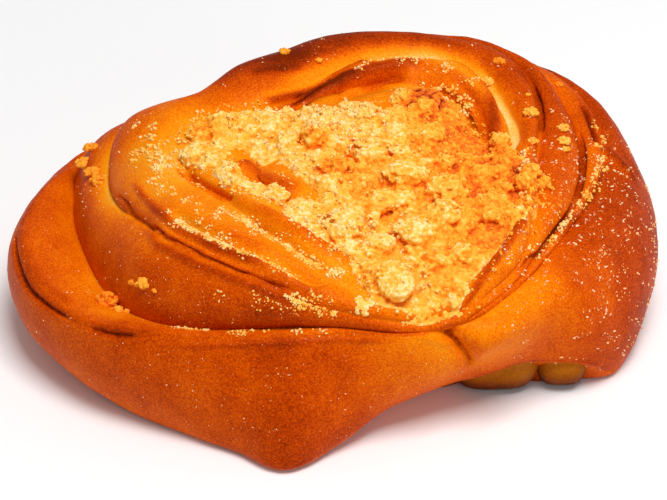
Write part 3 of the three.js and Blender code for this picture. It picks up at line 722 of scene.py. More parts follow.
def lines_on_skin(points, tree):
    """How far each point is lifted by the lines on the skin, and how much it is browned,
    with painted shade darkening the creases.
    """
    lift, brown = np.zeros(len(points)), np.zeros(len(points))
    for find, lines in ((dropped, TOP_LINES), (pressed, WALL_LINES)):
        for height, width, bake, plan in lines.values():
            share = along_line(points, found_line(find, tree, plan), width)
            lift += height * share
            brown += bake * share
    for width, bake, plan in TOP_BANDS.values():
        brown += bake * along_line(points, found_line(dropped, tree, plan), width)
    return lift, brown


def crest_measure(grid, normals):
    """How far each point of a skin stands proud of its surroundings."""
    reach = CREST_REACH
    padded = np.concatenate([grid[:1]] * reach + [grid] + [grid[-1:]] * reach)
    surroundings = (
        padded[: -2 * reach] + padded[2 * reach:]
        + np.roll(grid, reach, axis=1) + np.roll(grid, -reach, axis=1)
    ) / 4
    return ((grid - surroundings) * normals).sum(2)


def browning(rows, grid, normals):
    """How browned each point of the dough's skin is."""
    bake = np.zeros(grid.shape[:2])
    for k, (name, share, _, _) in enumerate(rows):
        outer, half, inner = (around(BAKE[name], column, ANGLES) for column in (1, 2, 3))
        if share < 0.5:
            bake[k] = mix(outer, half, share * 2)
        else:
            bake[k] = mix(half, inner, (share * 2 - 1) ** 2)
    crest = np.clip(CREST_BAKE * crest_measure(grid, normals), *CREST_LIMIT)
    return bake + crest


def build_dough():
    """The dough's skin in the tables' millimetres: points, faces, browning, search tree."""
    rows = dough_rows()
    across, along = np.cos(np.radians(ANGLES)), np.sin(np.radians(ANGLES))
    grid = np.stack([np.stack([r * across, r * along, z], 1) for _, _, r, z in rows])
    faces = skin_faces(len(rows), COLUMNS)
    ends = np.array([[0, 0, 0], [0, 0, BED_HEIGHT]], float)

    def skin(points):
        return np.concatenate([ends[:1], points.reshape(-1, 3), ends[1:]])

    tree = BVHTree.FromPolygons(skin(grid).tolist(), faces)
    normals = grid_normals(grid)
    flat = grid.reshape(-1, 3)
    shift, line_bake_and_shade = lines_on_skin(flat, tree)
    for k, (size, height) in enumerate(SWELLS):
        shift += height * relief(flat, size, SEED + k)
    shift *= smooth(flat[:, 2] / RELIEF_FULL)
    moved = flat + normals.reshape(-1, 3) * shift[:, None]
    moved[:, 2] = np.maximum(0, moved[:, 2])
    grid = moved.reshape(grid.shape)
    bake = browning(rows, grid, normals) + line_bake_and_shade.reshape(grid.shape[:2])
    bake = np.concatenate([[bake[0].mean()], bake.ravel(), [bake[-1].mean()]])
    points = skin(grid)
    return points, faces, bake, BVHTree.FromPolygons(points.tolist(), faces)


dough_points, dough_faces, dough_bake_and_shade, dough_tree = build_dough()
bun_low, bun_high = (np.array(corner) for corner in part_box("bun"))
SCALE = (bun_high[0] - bun_low[0]) / np.ptp(dough_points[:, 0])
DRAWN_MIDDLE = (dough_points.min(0) + dough_points.max(0)) / 2 * [1, 1, 0]
FRAME_MIDDLE = (bun_low + bun_high) / 2 * [1, 1, 0]


# ---- grains and crumbs --------------------------------------------------------------------
@functools.cache
def ball(detail):
    """Points and faces of a round ball of half-width 1, cut into triangles."""
    shape = bmesh.new()
    bmesh.ops.create_icosphere(shape, subdivisions=detail, radius=1)
    points = np.array([vertex.co for vertex in shape.verts])
    faces = np.array([[vertex.index for vertex in face.verts] for face in shape.faces])
    shape.free()
    return points, faces


def scattered(shape, centres, sizes, random, rough):
    """Copies of a ball, each dented, turned and stretched its own way, as one mesh."""
    points, faces = shape
    count = len(centres)
    own_place = random.uniform(-DENTS_FROM, DENTS_FROM, (count, 1, 3))
    spread = (points[None] + own_place).reshape(-1, 3)
    dents = np.ones(len(spread))
    for across, share in DENTS:
        dents += share * rough * relief(spread, across, SEED)
    turned = points[None] * dents.reshape(count, -1, 1) * sizes[:, None, :]
    yaw = random.uniform(0, 2 * math.pi, count)
    c, s = np.cos(yaw)[:, None], np.sin(yaw)[:, None]
    x, y = turned[:, :, 0] * c - turned[:, :, 1] * s, turned[:, :, 0] * s + turned[:, :, 1] * c
    copies = np.stack([x, y, turned[:, :, 2]], 2) + centres[:, None, :]
    offsets = np.arange(count)[:, None, None] * len(points)
    return copies.reshape(-1, 3), (faces[None] + offsets).reshape(-1, 3)


def chips(centres, sizes, lumps, random):
    """Jagged little crumbs, each of one or more overlapping lumps."""
    centres, sizes = np.array(centres), np.array(sizes)
    apart, share = (LUMPS_APART, LUMP_SIZE) if lumps > 1 else (0, 1)
    meshes = []
    for _ in range(lumps):
        places = centres + apart * random.normal(0, 1, centres.shape) * sizes
        meshes.append(scattered(ball(1), places, sizes * share, random, ROUGHNESS["chip"]))
    return joined(meshes)


def joined(meshes):
    """Several meshes of (points, triangles) as one."""
    starts = np.cumsum([0] + [len(points) for points, _ in meshes])
    faces = [faces + start for (_, faces), start in zip(meshes, starts)]
    return np.concatenate([points for points, _ in meshes]), np.concatenate(faces)


def plan_relief(x, y, across, seed):
    """Smooth random relief at places on the plan."""
    return relief(np.stack([x, y, np.zeros_like(x)], 1), across, seed)


def heap_share(x, y):
    """How far out from the heap's middle a place is, as a share of the way to its edge."""
    dx, dy = x - HEAP["x"], y - HEAP["y"]
    lace = 1 + HEAP_LACE["share"] * plan_relief(x, y, HEAP_LACE["across"], SEED)
    return lace * np.hypot(dx, dy) / around(HEAP_EDGE, 1, np.degrees(np.arctan2(dy, dx)))


def bareness(x, y):
    """How far the heap is lowered where the dough stays bare."""
    return np.max([deep * bell(np.hypot(x - bx, y - by), wide) for bx, by, wide, deep in BARE], 0)


def dough_heights(x, y):
    """Height of the dough's top at places on the plan, 0 beside it."""
    found = [dropped(dough_tree, *place) for place in np.stack([x, y], 1).tolist()]
    return np.array([point.z if point else 0 for point in found])


def heap_place(degrees, share=1):
    """Places on the plan at angles from the heap's middle, a share of the way to its edge."""
    distance, angles = share * around(HEAP_EDGE, 1, degrees), np.radians(degrees)
    return HEAP["x"] + distance * np.cos(angles), HEAP["y"] + distance * np.sin(angles)


EDGE_ANGLES = np.arange(-180, 181)
EDGE_HEIGHTS = dough_heights(*heap_place(EDGE_ANGLES))


def heap_top(x, y):
    """Height of the heap's top before its clumps."""
    share = np.minimum(heap_share(x, y), HEAP_LIMIT)
    degrees = np.degrees(np.arctan2(y - HEAP["y"], x - HEAP["x"]))
    edge = np.interp(degrees, EDGE_ANGLES, EDGE_HEIGHTS) - HEAP_SUNK
    bumps = sum(b["height"] * plan_relief(x, y, b["across"], b["seed"]) for b in (COARSE, FINE))
    dome = HEAP["dome"] * (1 - share ** 4)
    level = mix(HEAP["middle"], edge, share ** 2) + dome + bumps * (1 - EDGE_CALM * share ** 6)
    thickness = (HEAP_COVER + COVER_BUMPS * bumps) * (1 - share ** 8)
    cover = dough_heights(x, y) + thickness - HEAP_SUNK
    return np.maximum(level, cover) - bareness(x, y)


def heap_core():
    """The closed body under the heap's crumbs."""
    degrees = np.arange(HEAP_COLUMNS) * 360 / HEAP_COLUMNS
    levels = [(HEAP_FOOT, HEAP["depth"])] + [(1 - k / HEAP_ROWS, 0) for k in range(HEAP_ROWS)]
    rings = []
    for share, drop in levels:
        x, y = heap_place(degrees, share)
        rings.append(np.stack([x, y, heap_top(x, y) - drop], 1))
    middle = np.array([[HEAP["x"], HEAP["y"], HEAP["middle"] + HEAP["dome"]]])
    points = np.concatenate([middle - [0, 0, 2 * HEAP["depth"]], *rings, middle])
    return points, in_triangles(skin_faces(len(rings), HEAP_COLUMNS))


def in_heap(count, random, reach=CLUMP_REACH, even=0.5):
    """Places over the heap in a sunflower pattern, spread evenly when even is 0.5."""
    k = np.arange(count)
    degrees = k * GOLDEN_ANGLE + random.uniform(0, STRAY, count)
    return heap_place(degrees, reach * ((k + 0.5) / count) ** even)


def on_upper_half(count, random):
    """Directions over the upper part of a ball."""
    turn = random.uniform(0, 2 * math.pi, count)
    up = random.uniform(LOWEST_GRAIN, 1, count)
    flat = np.sqrt(1 - up ** 2)
    return np.stack([flat * np.cos(turn), flat * np.sin(turn), up], 1)


def clump_list(random):
    """Centres and half-sizes of every clump in the heap."""
    centres, halves = [], []
    for count, least, greatest in CLUMPS:
        x, y = in_heap(count, random)
        size = mix(least, greatest, random.uniform(0, 1, count))
        keep = bareness(x, y) < CLUMPS_END
        z = heap_top(x, y) - CLUMP_SUNK * size
        stretch = size[:, None] * random.uniform(*CLUMP_UNEVEN, (count, 3)) * CLUMP_SHAPE
        centres.append(np.stack([x, y, z], 1)[keep])
        halves.append(stretch[keep])
    named = np.array(BIG_CLUMPS)
    tops = heap_top(named[:, 0], named[:, 1]) + named[:, 2]
    centres.append(np.column_stack([named[:, :2], tops]))
    halves.append(named[:, 3:6])
    return np.concatenate(centres), np.concatenate(halves)


def fused(points, faces, name):
    """The same mesh melted into one skin, as crumbs are that bake together."""
    rough = make_object(name + "_parts", points, faces)
    remesh = rough.modifiers.new("fuse", "REMESH")
    remesh.mode = "VOXEL"
    remesh.voxel_size = VOXEL * MM
    mesh = with_modifiers(rough)
    mesh.name = name
    mesh.polygons.foreach_set("use_smooth", [True] * len(mesh.polygons))
    bpy.data.objects.remove(rough)
    return in_scene(name, mesh)


def toasting(points, seed):
    """How browned crumbs are at points in the heap."""
    x, y = points[:, 0], points[:, 1]
    weights = np.array([bell(np.hypot(x - tx, y - ty), wide) for tx, ty, wide, _ in TOAST])
    values = np.array([row[3] for row in TOAST])[:, None]
    base = (weights * values).sum(0) / (weights.sum(0) + TOAST_FADE) + TOAST_LEAST
    for bx, by, _, wide, deep, _, brown in BIG_CLUMPS:
        near = bell(np.hypot((x - bx) / wide, (y - by) / deep), CLUMP_TOAST)
        base = mix(base, brown, near)
    for k, (across, browner) in enumerate(TOAST_PATCHES):
        base += browner * relief(points, across, seed + k)
    return base


def hollowness(piece, points, rounds):
    """How far each point lies below the mean of the points within so many edges of it."""
    pairs = np.zeros(len(piece.data.edges) * 2, np.int32)
    piece.data.edges.foreach_get("vertices", pairs)
    one, other = pairs[0::2], pairs[1::2]
    ends, starts = np.concatenate([one, other]), np.concatenate([other, one])
    neighbours = np.maximum(1, np.bincount(ends, minlength=len(points)))
    mean = points.copy()
    for _ in range(rounds):
        sums = [np.bincount(ends, mean[starts, axis], len(points)) for axis in range(3)]
        mean = np.stack(sums, 1) / neighbours[:, None]
    return ((mean - points) * piece_normals(piece)).sum(1)


def thinned_underside(bed):
    """Merges the faces of the heap's hidden underside, for which no detail is needed."""
    points = piece_points(bed)
    hidden = points[:, 2] < heap_top(points[:, 0], points[:, 1]) - HIDDEN_DEPTH
    group = bed.vertex_groups.new(name="underside")
    group.add(np.nonzero(hidden)[0].tolist(), 1, "REPLACE")
    thinned = bed.modifiers.new("thin", "DECIMATE")
    thinned.vertex_group = "underside"
    thinned.ratio = 1 - UNDERSIDE_CUT * hidden.mean()
    mesh = with_modifiers(bed)
    bed.modifiers.clear()
    bed.vertex_groups.clear()
    bed.data = mesh


def baked_grains(places, sizes, random):
    """Grains at places on the heap or on a clump, each stretched its own way."""
    sizes = sizes * random.uniform(*GRAIN_UNEVEN, (len(sizes), 3))
    return scattered(ball(2), places, sizes, random, ROUGHNESS["baked grain"])


def heap_parts(random):
    """The heap's core, its clumps and the grains on both, each a mesh of its own."""
    centres, halves = clump_list(random)
    bodies = scattered(ball(3), centres, halves * CORE_SIZE, random, ROUGHNESS["clump"])
    parts = [heap_core(), bodies]
    x, y = in_heap(CORE_GRAINS, random, CORE_GRAIN_REACH)
    sizes = skewed(random, GRAIN_SIZE, FEWER_LARGE["baked grain"], (CORE_GRAINS, 1))
    places = np.stack([x, y, heap_top(x, y)], 1) - sizes * [0, 0, GRAIN_SUNK]
    parts.append(baked_grains(places, sizes, random))
    for centre, half in zip(centres, halves):
        count = int(CLUMP_GRAINS * half[0] * half[1])
        sizes = skewed(random, GRAIN_SIZE, FEWER_LARGE["baked grain"], (count, 1))
        sizes *= min(1, COMPACT_FROM / half[0])
        places = centre + on_upper_half(count, random) * (half - GRAIN_SUNK * sizes)
        parts.append(baked_grains(places, sizes, random))
    return parts


def build_crumb_bed(random):
    """The baked-together heap of crumbs."""
    bed = fused(*joined(heap_parts(random)), "crumb_bed")
    thinned_underside(bed)
    found = piece_points(bed)
    shift = sum(
        height * (granules(found, across, seed) - 0.5) for across, height, seed in GRANULES
    )
    moved = found + piece_normals(bed) * shift[:, None]
    bed.data.vertices.foreach_set("co", placed(moved).ravel())
    bed.data.update()
    # The toast here also holds painted shade: darker on the crumbs' sides and in their hollows.
    toast = toasting(moved, TOAST_SEEDS["bed"]) + SIDE_SHADE * (1 - piece_normals(bed)[:, 2])
    for rounds, shade_rate in HOLLOW_SHADE:
        toast += shade_rate * hollowness(bed, moved, rounds)
    give_values(bed, "toast", np.maximum(toast, PALEST_CRUMB))
    return bed


def build_crumb_grains(random, bed):
    """Loose grains on the heap and round its edge."""
    bed_tree = BVHTree.FromPolygons(
        piece_points(bed).tolist(), [tuple(face.vertices) for face in bed.data.polygons]
    )
    meshes = []
    for count, lumps, least, greatest in LOOSE_GRAINS:
        x, y = in_heap(count, random, **LOOSE_SPREAD)
        keep = (bareness(x, y) < GRAINS_END) | (random.uniform(0, 1, count) < ON_BARE)
        places, sizes = [], []
        for px, py in zip(x[keep], y[keep]):
            dough = dropped(dough_tree, px, py)
            if not dough or dough.z < LOWEST_CRUMB:
                continue
            heap = dropped(bed_tree, px, py)
            size = skewed(random, [least, greatest], FEWER_LARGE["loose grain"])
            level = max(heap.z, dough.z) if heap else dough.z
            places.append([px, py, level + random.uniform(*GRAIN_SETTLED) * size])
            sizes.append(size * random.uniform(*UNEVEN, 3))
        meshes.append(chips(places, sizes, lumps, random))
    points, faces = joined(meshes)
    grains = make_object("crumb_grains", points, faces)
    toast = toasting(points, TOAST_SEEDS["grains"]) - GRAIN_PALER
    # painted shade: the grains' sides are darker than their tops
    toast += GRAIN_SIDE_SHADE * (1 - piece_normals(grains)[:, 2])
    give_values(grains, "toast", np.maximum(toast, PALEST_CRUMB))
    return grains


# ---- loose crumbs and sugar ---------------------------------------------------------------
# Crumbs that lie apart on the rims: [angle, distance, half-width, flatness, browning].
LOOSE_CRUMBS = [
    [-156, 48.5, 1.9, 0.75, 0.55], [-146, 44.2, 1.4, 0.8, 0.35], [-150, 45, 0.6, 0.9, 0.4],
    [-142, 43.6, 0.5, 0.9, 0.35], [-151, 47.8, 0.8, 0.9, 0.3], [-150, 46.4, 0.6, 0.9, 0.3],
    [155, 54.9, 1.5, 0.5, 0.4], [158, 55.4, 1.6, 0.5, 0.36], [163, 51.4, 1.5, 0.55, 0.42],
    [166.5, 49.4, 1.3, 0.6, 0.4], [28, 45.5, 1.4, 0.45, 0.24], [18, 42.3, 0.9, 0.6, 0.24],
    [23, 50.8, 1.1, 0.5, 0.2], [19, 49.4, 1.2, 0.5, 0.22], [16.6, 49, 0.8, 0.5, 0.22],
    [46, 45.8, 1.2, 0.7, 0.2], [37, 58.8, 0.7, 0.8, 0.5], [3, 41.4, 1.7, 0.8, 0.4],
    [4, 39.4, 1.5, 0.8, 0.3], [34, 48.2, 0.5, 0.6, 0.3], [47, 50.4, 1.1, 0.4, 0.5],
    [105, 38.8, 1.0, 0.6, 0.4], [95, 35.4, 0.7, 0.6, 0.4],
]
# Small crumbs in the creases: [clusters, half-width of the place, greatest half-width of a
# crumb, points [x, y] of the crease].
TRAILS = {
    "right edge": [44, 1, 0.42, [
        [54.4, 27], [55, 21], [54.6, 15], [53, 9], [51.6, 4], [49.6, 0], [46.8, -4.6],
        [44, -8.6], [41.6, -12.6], [39.6, -16.6],
    ]],
    "front ledge": [34, 1, 0.3, [
        [-30.3, -30.3], [-27.4, -32.7], [-24.4, -32.3], [-20.6, -33], [-17.4, -35.8],
        [-14.7, -34.5], [-11.8, -34.3], [-9, -35.9], [-6.2, -35.4], [-0.6, -36.7], [1.9, -36.7],
    ]],
    "front patch": [24, 0.8, 0.4, [
        [-7.9, -34.3], [-6.1, -34.7], [-4.3, -34.8], [-2.5, -35.3], [0, -35.7],
    ]],
    "petal furrow": [70, 0.9, 0.36, [
        [-30.6, -15.6], [-27.6, -18.8], [-23.4, -22], [-19.8, -24.6], [-16, -26.6], [-12, -28.2],
        [-7, -30.4],
    ]],
    "furrow inside the petal": [70, 1.1, 0.42, [
        [-21.4, -12], [-18.2, -14.8], [-14.8, -17.2], [-11, -20.2], [-7.6, -23], [-3.6, -26.2],
        [1, -28.8],
    ]],
    "petal middle": [20, 2.4, 0.34, [
        [-40, 10.7], [-36.4, 3.8], [-32, -6.2], [-28.7, -12.8], [-22, -17], [-14, -22],
    ]],
    "petal left": [34, 2.4, 0.46, [[-39, 17.4], [-36.9, 12.7], [-34.4, 1.2], [-33.7, 8.4]]],
    "top of the back fold": [14, 2, 0.36, [
        [5, 35], [11, 36.6], [17, 37.2], [22, 36], [26, 33.6], [28.6, 30],
    ]],
    "around the browned clump": [30, 2.6, 0.45, [[18, 28.6], [21, 27.6], [24, 25.6], [27, 21.6]]],
    "right lip": [40, 1.8, 0.5, [
        [36, 9], [38.4, 3], [36.8, -4], [34, -12], [30.4, -20], [25.5, -27],
    ]],
}
# Crumbs in each cluster, how far they scatter, and how far up or down a slope they lie.
CLUSTER = {"crumbs": 12, "spread": 0.55, "rise": 0.9}
SMALLEST_CRUMB = 0.1  # half-width
TRAIL_RAISED = 0.3  # of a small crumb's half-width, its middle above the dough
TRAIL_TOAST = [0, 0.2]  # least and greatest browning of those small crumbs
TOAST_ACROSS = 3  # how far across the places are between which it changes
CRUMB_RAISED = 0.35  # of its half-height, the middle of a loose crumb above the dough
CRUMB_OBLONG = [1.15, 0.85]  # its half-sizes along and across, for each half-width
LOOSE_GRAIN = [0.2, 0.42]  # of its half-width, the grains that it is made of
LOOSE_GRAIN_PLACE = 0.85  # of its half-sizes, how far out those grains sit
LOOSE_GRAINS_EACH = 22


def at_angle(degrees, distance):
    return distance * math.cos(math.radians(degrees)), distance * math.sin(math.radians(degrees))


def grainy_crumb(place, size, flatness, random):
    """A crumb at a place on the dough, made of grains round a body."""
    centre = np.array([place.x, place.y, place.z + CRUMB_RAISED * size * flatness])
    half = size * np.array([*CRUMB_OBLONG, flatness])
    core = half[None] * CORE_SIZE
    body = scattered(ball(3), centre[None], core, random, ROUGHNESS["crumb"])
    sizes = size * random.uniform(*LOOSE_GRAIN, (LOOSE_GRAINS_EACH, 3))
    places = centre + on_upper_half(LOOSE_GRAINS_EACH, random) * half * LOOSE_GRAIN_PLACE
    grains = scattered(ball(2), places, sizes, random, ROUGHNESS["grain of a crumb"])
    return joined([body, grains])


def crumb_trails(random):
    """The small crumbs in the creases, as one mesh."""
    places, sizes = [], []
    for clusters, wide, greatest, plan in TRAILS.values():
        line = walked(plan)
        for _ in range(clusters):
            middle = line[random.integers(len(line))] + random.normal(0, wide / 2, 2)
            base = dropped(dough_tree, *middle)
            for x, y in middle + random.normal(0, CLUSTER["spread"], (CLUSTER["crumbs"], 2)):
                place = dropped(dough_tree, x, y)
                if not (base and place and abs(place.z - base.z) < CLUSTER["rise"]):
                    continue
                size = skewed(random, [SMALLEST_CRUMB, greatest], FEWER_LARGE["trail"])
                places.append([x, y, place.z + TRAIL_RAISED * size])
                sizes.append(size * random.uniform(*UNEVEN, 3))
    return chips(places, sizes, 1, random)


def build_loose_crumbs(random):
    """Crumbs that lie apart on the rims and in the creases."""
    meshes, toasts = [], []
    for degrees, distance, size, flatness, toast in LOOSE_CRUMBS:
        place = dropped(dough_tree, *at_angle(degrees, distance))
        meshes.append(grainy_crumb(place, size, flatness, random))
        toasts.append(np.full(len(meshes[-1][0]), toast))
    meshes.append(crumb_trails(random))
    toasts.append(mix(*TRAIL_TOAST, (1 + relief(meshes[-1][0], TOAST_ACROSS, SEED)) / 2))
    piece = make_object("loose_crumbs", *joined(meshes))
    give_values(piece, "toast", np.concatenate(toasts))
    return piece


# Sugar on the crust, denser in places: [x, y, half-width of the place, how many clusters,
# flakes in each, greatest half-width of a flake].
SUGAR = [
    [52, 0, 12, 190, 3, 0.3], [48, -16, 13, 150, 3, 0.32], [56, 16, 9, 70, 3, 0.3],
    [47, 14, 9, 70, 3, 0.3], [34, -22, 10, 70, 3, 0.28], [18, -38, 12, 130, 1, 0.2],
    [-10, -40, 22, 260, 1, 0.17], [-28, -24, 14, 110, 1, 0.17], [-48, -16, 11, 80, 1, 0.17],
    [-50, 14, 10, 60, 1, 0.2], [-34, 6, 12, 160, 1, 0.22], [34, 34, 12, 60, 2, 0.28],
    [2, 38, 24, 100, 2, 0.28], [-18, 34, 18, 60, 2, 0.26],
]
SMALLEST_FLAKE = 0.06  # half-width
FLAKE_SPREAD = 0.45  # between the flakes of a cluster
FLAKE_SHAPE = [1.5, 0.8, 0.5]  # half-sizes for each half-width
SUGAR_SPREAD = 0.6  # of a place's half-width, the usual distance of its clusters from its middle
LOWEST_SUGAR = 4  # height
SUGAR_ON_TOP = 0.5  # share of it that fell on the top, the rest sticks to the wall


def sugar_place(x, y, random):
    """A place on the dough's top or on its wall, near a place on the plan."""
    if random.uniform() < SUGAR_ON_TOP:
        return dropped(dough_tree, x, y)
    height = random.uniform(LOWEST_SUGAR, HEAP["middle"])
    return pressed(dough_tree, math.degrees(math.atan2(y, x)), height)


def build_sugar(random):
    """Fine pale flakes that stick to the crust, also on its sides."""
    places, sizes = [], []
    for x, y, wide, clusters, flakes, greatest in SUGAR:
        for _ in range(clusters):
            plan = np.array([x, y]) + random.normal(0, wide * SUGAR_SPREAD, 2)
            place = sugar_place(*plan, random)
            if place is None or place.z < LOWEST_SUGAR:
                continue
            for _ in range(flakes):
                near = np.array(place) + random.normal(0, FLAKE_SPREAD * (flakes > 1), 3)
                size = skewed(random, [SMALLEST_FLAKE, greatest], FEWER_LARGE["flake"])
                places.append(dough_tree.find_nearest(Vector(near))[0])
                shape = size * random.permutation(FLAKE_SHAPE)
                sizes.append(shape * random.uniform(*UNEVEN, 3))
    places, sizes = np.array(places), np.array(sizes)
    mesh = scattered(ball(1), places, sizes, random, ROUGHNESS["flake"])
    return make_object("sugar_grains", *mesh, smooth_faces=False)


# ---- tucked rolls -------------------------------------------------------------------------
ROLL_SUNK = 0.8  # depth to which the rolls' round undersides are pressed flat
ROLL_BANDS = {"count": 3, "height": 0.12}
ROLL_RELIEF = {"across": 3, "height": 0.25}
ROLL_POWER = [0.62, 0.8, 0.85]  # below 1 for a shape squarer than an egg's
ROLL_BAKE_AND_SHADE = [1, 0.16]  # browning and painted shade at the floor, browning at the top
ROLL_PALE_FROM = 9  # height


def build_tucked_rolls():
    """The pale ends of the rolled layers under the raised edge at the front right."""
    ball_points, ball_faces = ball(5)
    meshes = []
    for x, y, *half in TUCKED_ROLLS:
        shape = np.sign(ball_points) * np.abs(ball_points) ** ROLL_POWER
        bands = ROLL_BANDS["height"] * np.cos(ball_points[:, 2] * math.pi * ROLL_BANDS["count"])
        points = shape * half * (1 + bands[:, None] / max(half)) + [x, y, half[2] - ROLL_SUNK]
        points[:, 2] = np.maximum(0, points[:, 2])
        uneven = ROLL_RELIEF["height"] * relief(points, ROLL_RELIEF["across"], SEED)
        points += uneven[:, None] * [1, 1, 0]
        meshes.append((points, ball_faces))
    points, faces = joined(meshes)
    rolls = make_object("tucked_rolls", points, faces)
    # darkest at the floor: browning where they lay on the tray, and painted shade under the
    # raised edge
    give_values(rolls, "bake", mix(*ROLL_BAKE_AND_SHADE, smooth(points[:, 2] / ROLL_PALE_FROM)))
    return rolls


# ---- materials ----------------------------------------------------------------------------
def linear(hex_colour):
    """A colour of the form #rrggbb as linear values."""
    values = [int(hex_colour[k: k + 2], 16) / 255 for k in (1, 3, 5)]
    return [v / 12.92 if v <= 0.04045 else ((v + 0.055) / 1.055) ** 2.4 for v in values] + [1]


def new_material(name):
    material = bpy.data.materials.new(name)
    material.use_nodes = True
    tree = material.node_tree
    return material, tree, tree.nodes["Principled BSDF"]


def set_inputs(node, values):
    """Gives a node's inputs their values, by the inputs' names."""
    for name, value in values.items():
        node.inputs[name].default_value = value


def add_texture(tree, kind, size_mm):
    """A texture node with cells or bumps about so many millimetres across, fixed to the piece."""
    place = tree.nodes.new("ShaderNodeTexCoord")
    texture = tree.nodes.new(kind)
    set_inputs(texture, {"Scale": 1 / (size_mm * MM)})
    tree.links.new(place.outputs["Object"], texture.inputs["Vector"])
    return texture


def add_noise(tree, size_mm, detail=2, roughness=0.5):
    """Noise from 0 to 1, with bumps about so many millimetres across."""
    noise = add_texture(tree, "ShaderNodeTexNoise", size_mm)
    set_inputs(noise, {"Detail": detail, "Roughness": roughness})
    return noise.outputs["Fac"]


def maths(tree, kind, *values):
    """A math node over numbers and sockets."""
    node = tree.nodes.new("ShaderNodeMath")
    node.operation = kind
    for socket, value in zip(node.inputs, values):
        if isinstance(value, (int, float)):
            socket.default_value = value
        else:
            tree.links.new(value, socket)
    return node.outputs[0]


def around_zero(tree, amount, height):
    """A value from 0 to 1, spread over so great a height with 0 in its middle."""
    return maths(tree, "MULTIPLY_ADD", amount, height, -height / 2)


def read_value(tree, name):
    node = tree.nodes.new("ShaderNodeAttribute")
    node.attribute_name = name
    return node.outputs["Fac"]


def add_ramp(tree, amount, stops):
    """Colours at places from 0 to 1."""
    ramp = tree.nodes.new("ShaderNodeValToRGB")
    elements = ramp.color_ramp.elements
    while len(elements) < len(stops):
        elements.new(0.5)
    for element, (place, colour) in zip(elements, stops):
        element.position = place
        element.color = linear(colour)
    tree.links.new(amount, ramp.inputs["Fac"])
    return ramp.outputs["Color"]


def add_bump(tree, height, distance_mm, strength, onto=None):
    bump = tree.nodes.new("ShaderNodeBump")
    set_inputs(bump, {"Distance": distance_mm * MM, "Strength": strength})
    tree.links.new(height, bump.inputs["Height"])
    if onto:
        tree.links.new(onto, bump.inputs["Normal"])
    return bump.outputs["Normal"]


def add_patches(tree, size_mm, detail, roughness, browner):
    """Uneven browning, as far below 0 as above it."""
    return around_zero(tree, add_noise(tree, size_mm, detail, roughness), browner)


def add_pores(tree, size_mm, detail, roughness, depth_mm, strength, onto=None):
    return add_bump(tree, add_noise(tree, size_mm, detail, roughness), depth_mm, strength, onto)


# Colours from unbaked at 0 to the most browned at 1.
DOUGH_COLOURS = [
    (0.0, "#f4d48c"), (0.16, "#efb648"), (0.34, "#f2980e"), (0.52, "#ee7802"),
    (0.66, "#d85600"), (0.82, "#b23800"), (1.0, "#701e00"),
]
# The unglazed ends of the rolled layers, darker than the crust partly as painted shade
# from the raised edge over them.
SHADED_ROLL_COLOURS = [(0.0, "#cc842c"), (0.3, "#b06410"), (0.7, "#853c02"), (1.0, "#481a00")]
# Browner and paler patches, and speckles: [size, detail, roughness, browning].
DOUGH_PATCHES = [9, 4, 0.6, 0.34]
DOUGH_SPECKLES = [0.4, 3, 0.7, 0.7]
DOUGH_GLOSS = {"size": 2.2, "detail": 3, "change": 0.24, "least": 0.36}
# Fine pores and wider dimples of the crust: [size, detail, roughness, depth, strength].
DOUGH_PORES = [0.45, 3, 0.65, 0.18, 0.6]
DOUGH_DIMPLES = [2.4, 2, 0.5, 0.2, 0.4]
CRUST_FINISH = {
    "Specular IOR Level": 0.06, "Specular Tint": (1, 0.6, 0.2, 1),
    "Subsurface Weight": 0.06, "Subsurface Radius": (1.0, 0.4, 0.1),
    "Subsurface Scale": 1.2 * MM, "Coat Weight": 0.02, "Coat Roughness": 0.3,
}


def dough_material(name, colours):
    """Crust browned by its bake value, which also holds painted shade in the creases and low on
    the rolls: mottled, satin and finely pored.
    """
    material, tree, shader = new_material(name)
    patches, speckles = add_patches(tree, *DOUGH_PATCHES), add_patches(tree, *DOUGH_SPECKLES)
    uneven = maths(tree, "ADD", patches, speckles)
    bake = maths(tree, "ADD", read_value(tree, "bake"), uneven)
    tree.links.new(add_ramp(tree, bake, colours), shader.inputs["Base Color"])
    noise = add_noise(tree, DOUGH_GLOSS["size"], DOUGH_GLOSS["detail"])
    gloss = maths(tree, "MULTIPLY_ADD", noise, DOUGH_GLOSS["change"], DOUGH_GLOSS["least"])
    tree.links.new(gloss, shader.inputs["Roughness"])
    bumps = add_pores(tree, *DOUGH_DIMPLES, add_pores(tree, *DOUGH_PORES))
    tree.links.new(bumps, shader.inputs["Normal"])
    set_inputs(shader, CRUST_FINISH)
    return material


CRUMB_COLOURS = [
    (0.0, "#ffde9c"), (0.08, "#ffcb64"), (0.2, "#ffb83c"), (0.34, "#ffa828"), (0.5, "#fa900e"),
    (0.68, "#ee7008"), (0.85, "#c44804"), (1.0, "#842802"),
]
# Packed grains, browned each its own way, with speckles and pores as on the crust.
CRUMB_GRAINS = {"size": 0.55, "browning": 0.22, "depth": 0.22, "strength": 0.7}
CRUMB_SPECKLES = [0.9, 3, 0.6, 0.3]
CRUMB_PORES = [0.3, 3, 0.7, 0.1, 0.6]
CRUMB_FINISH = {
    "Roughness": 0.72, "Specular IOR Level": 0.25,
    "Subsurface Radius": (1.0, 0.6, 0.25), "Subsurface Scale": 0.6 * MM,
}


def add_granules(tree, size_mm):
    """Packed grains about so many millimetres across: their height and their own random value."""
    cells = add_texture(tree, "ShaderNodeTexVoronoi", size_mm)
    own = tree.nodes.new("ShaderNodeSeparateColor")
    tree.links.new(cells.outputs["Color"], own.inputs["Color"])
    return maths(tree, "SUBTRACT", 1.0, cells.outputs["Distance"]), own.outputs["Red"]


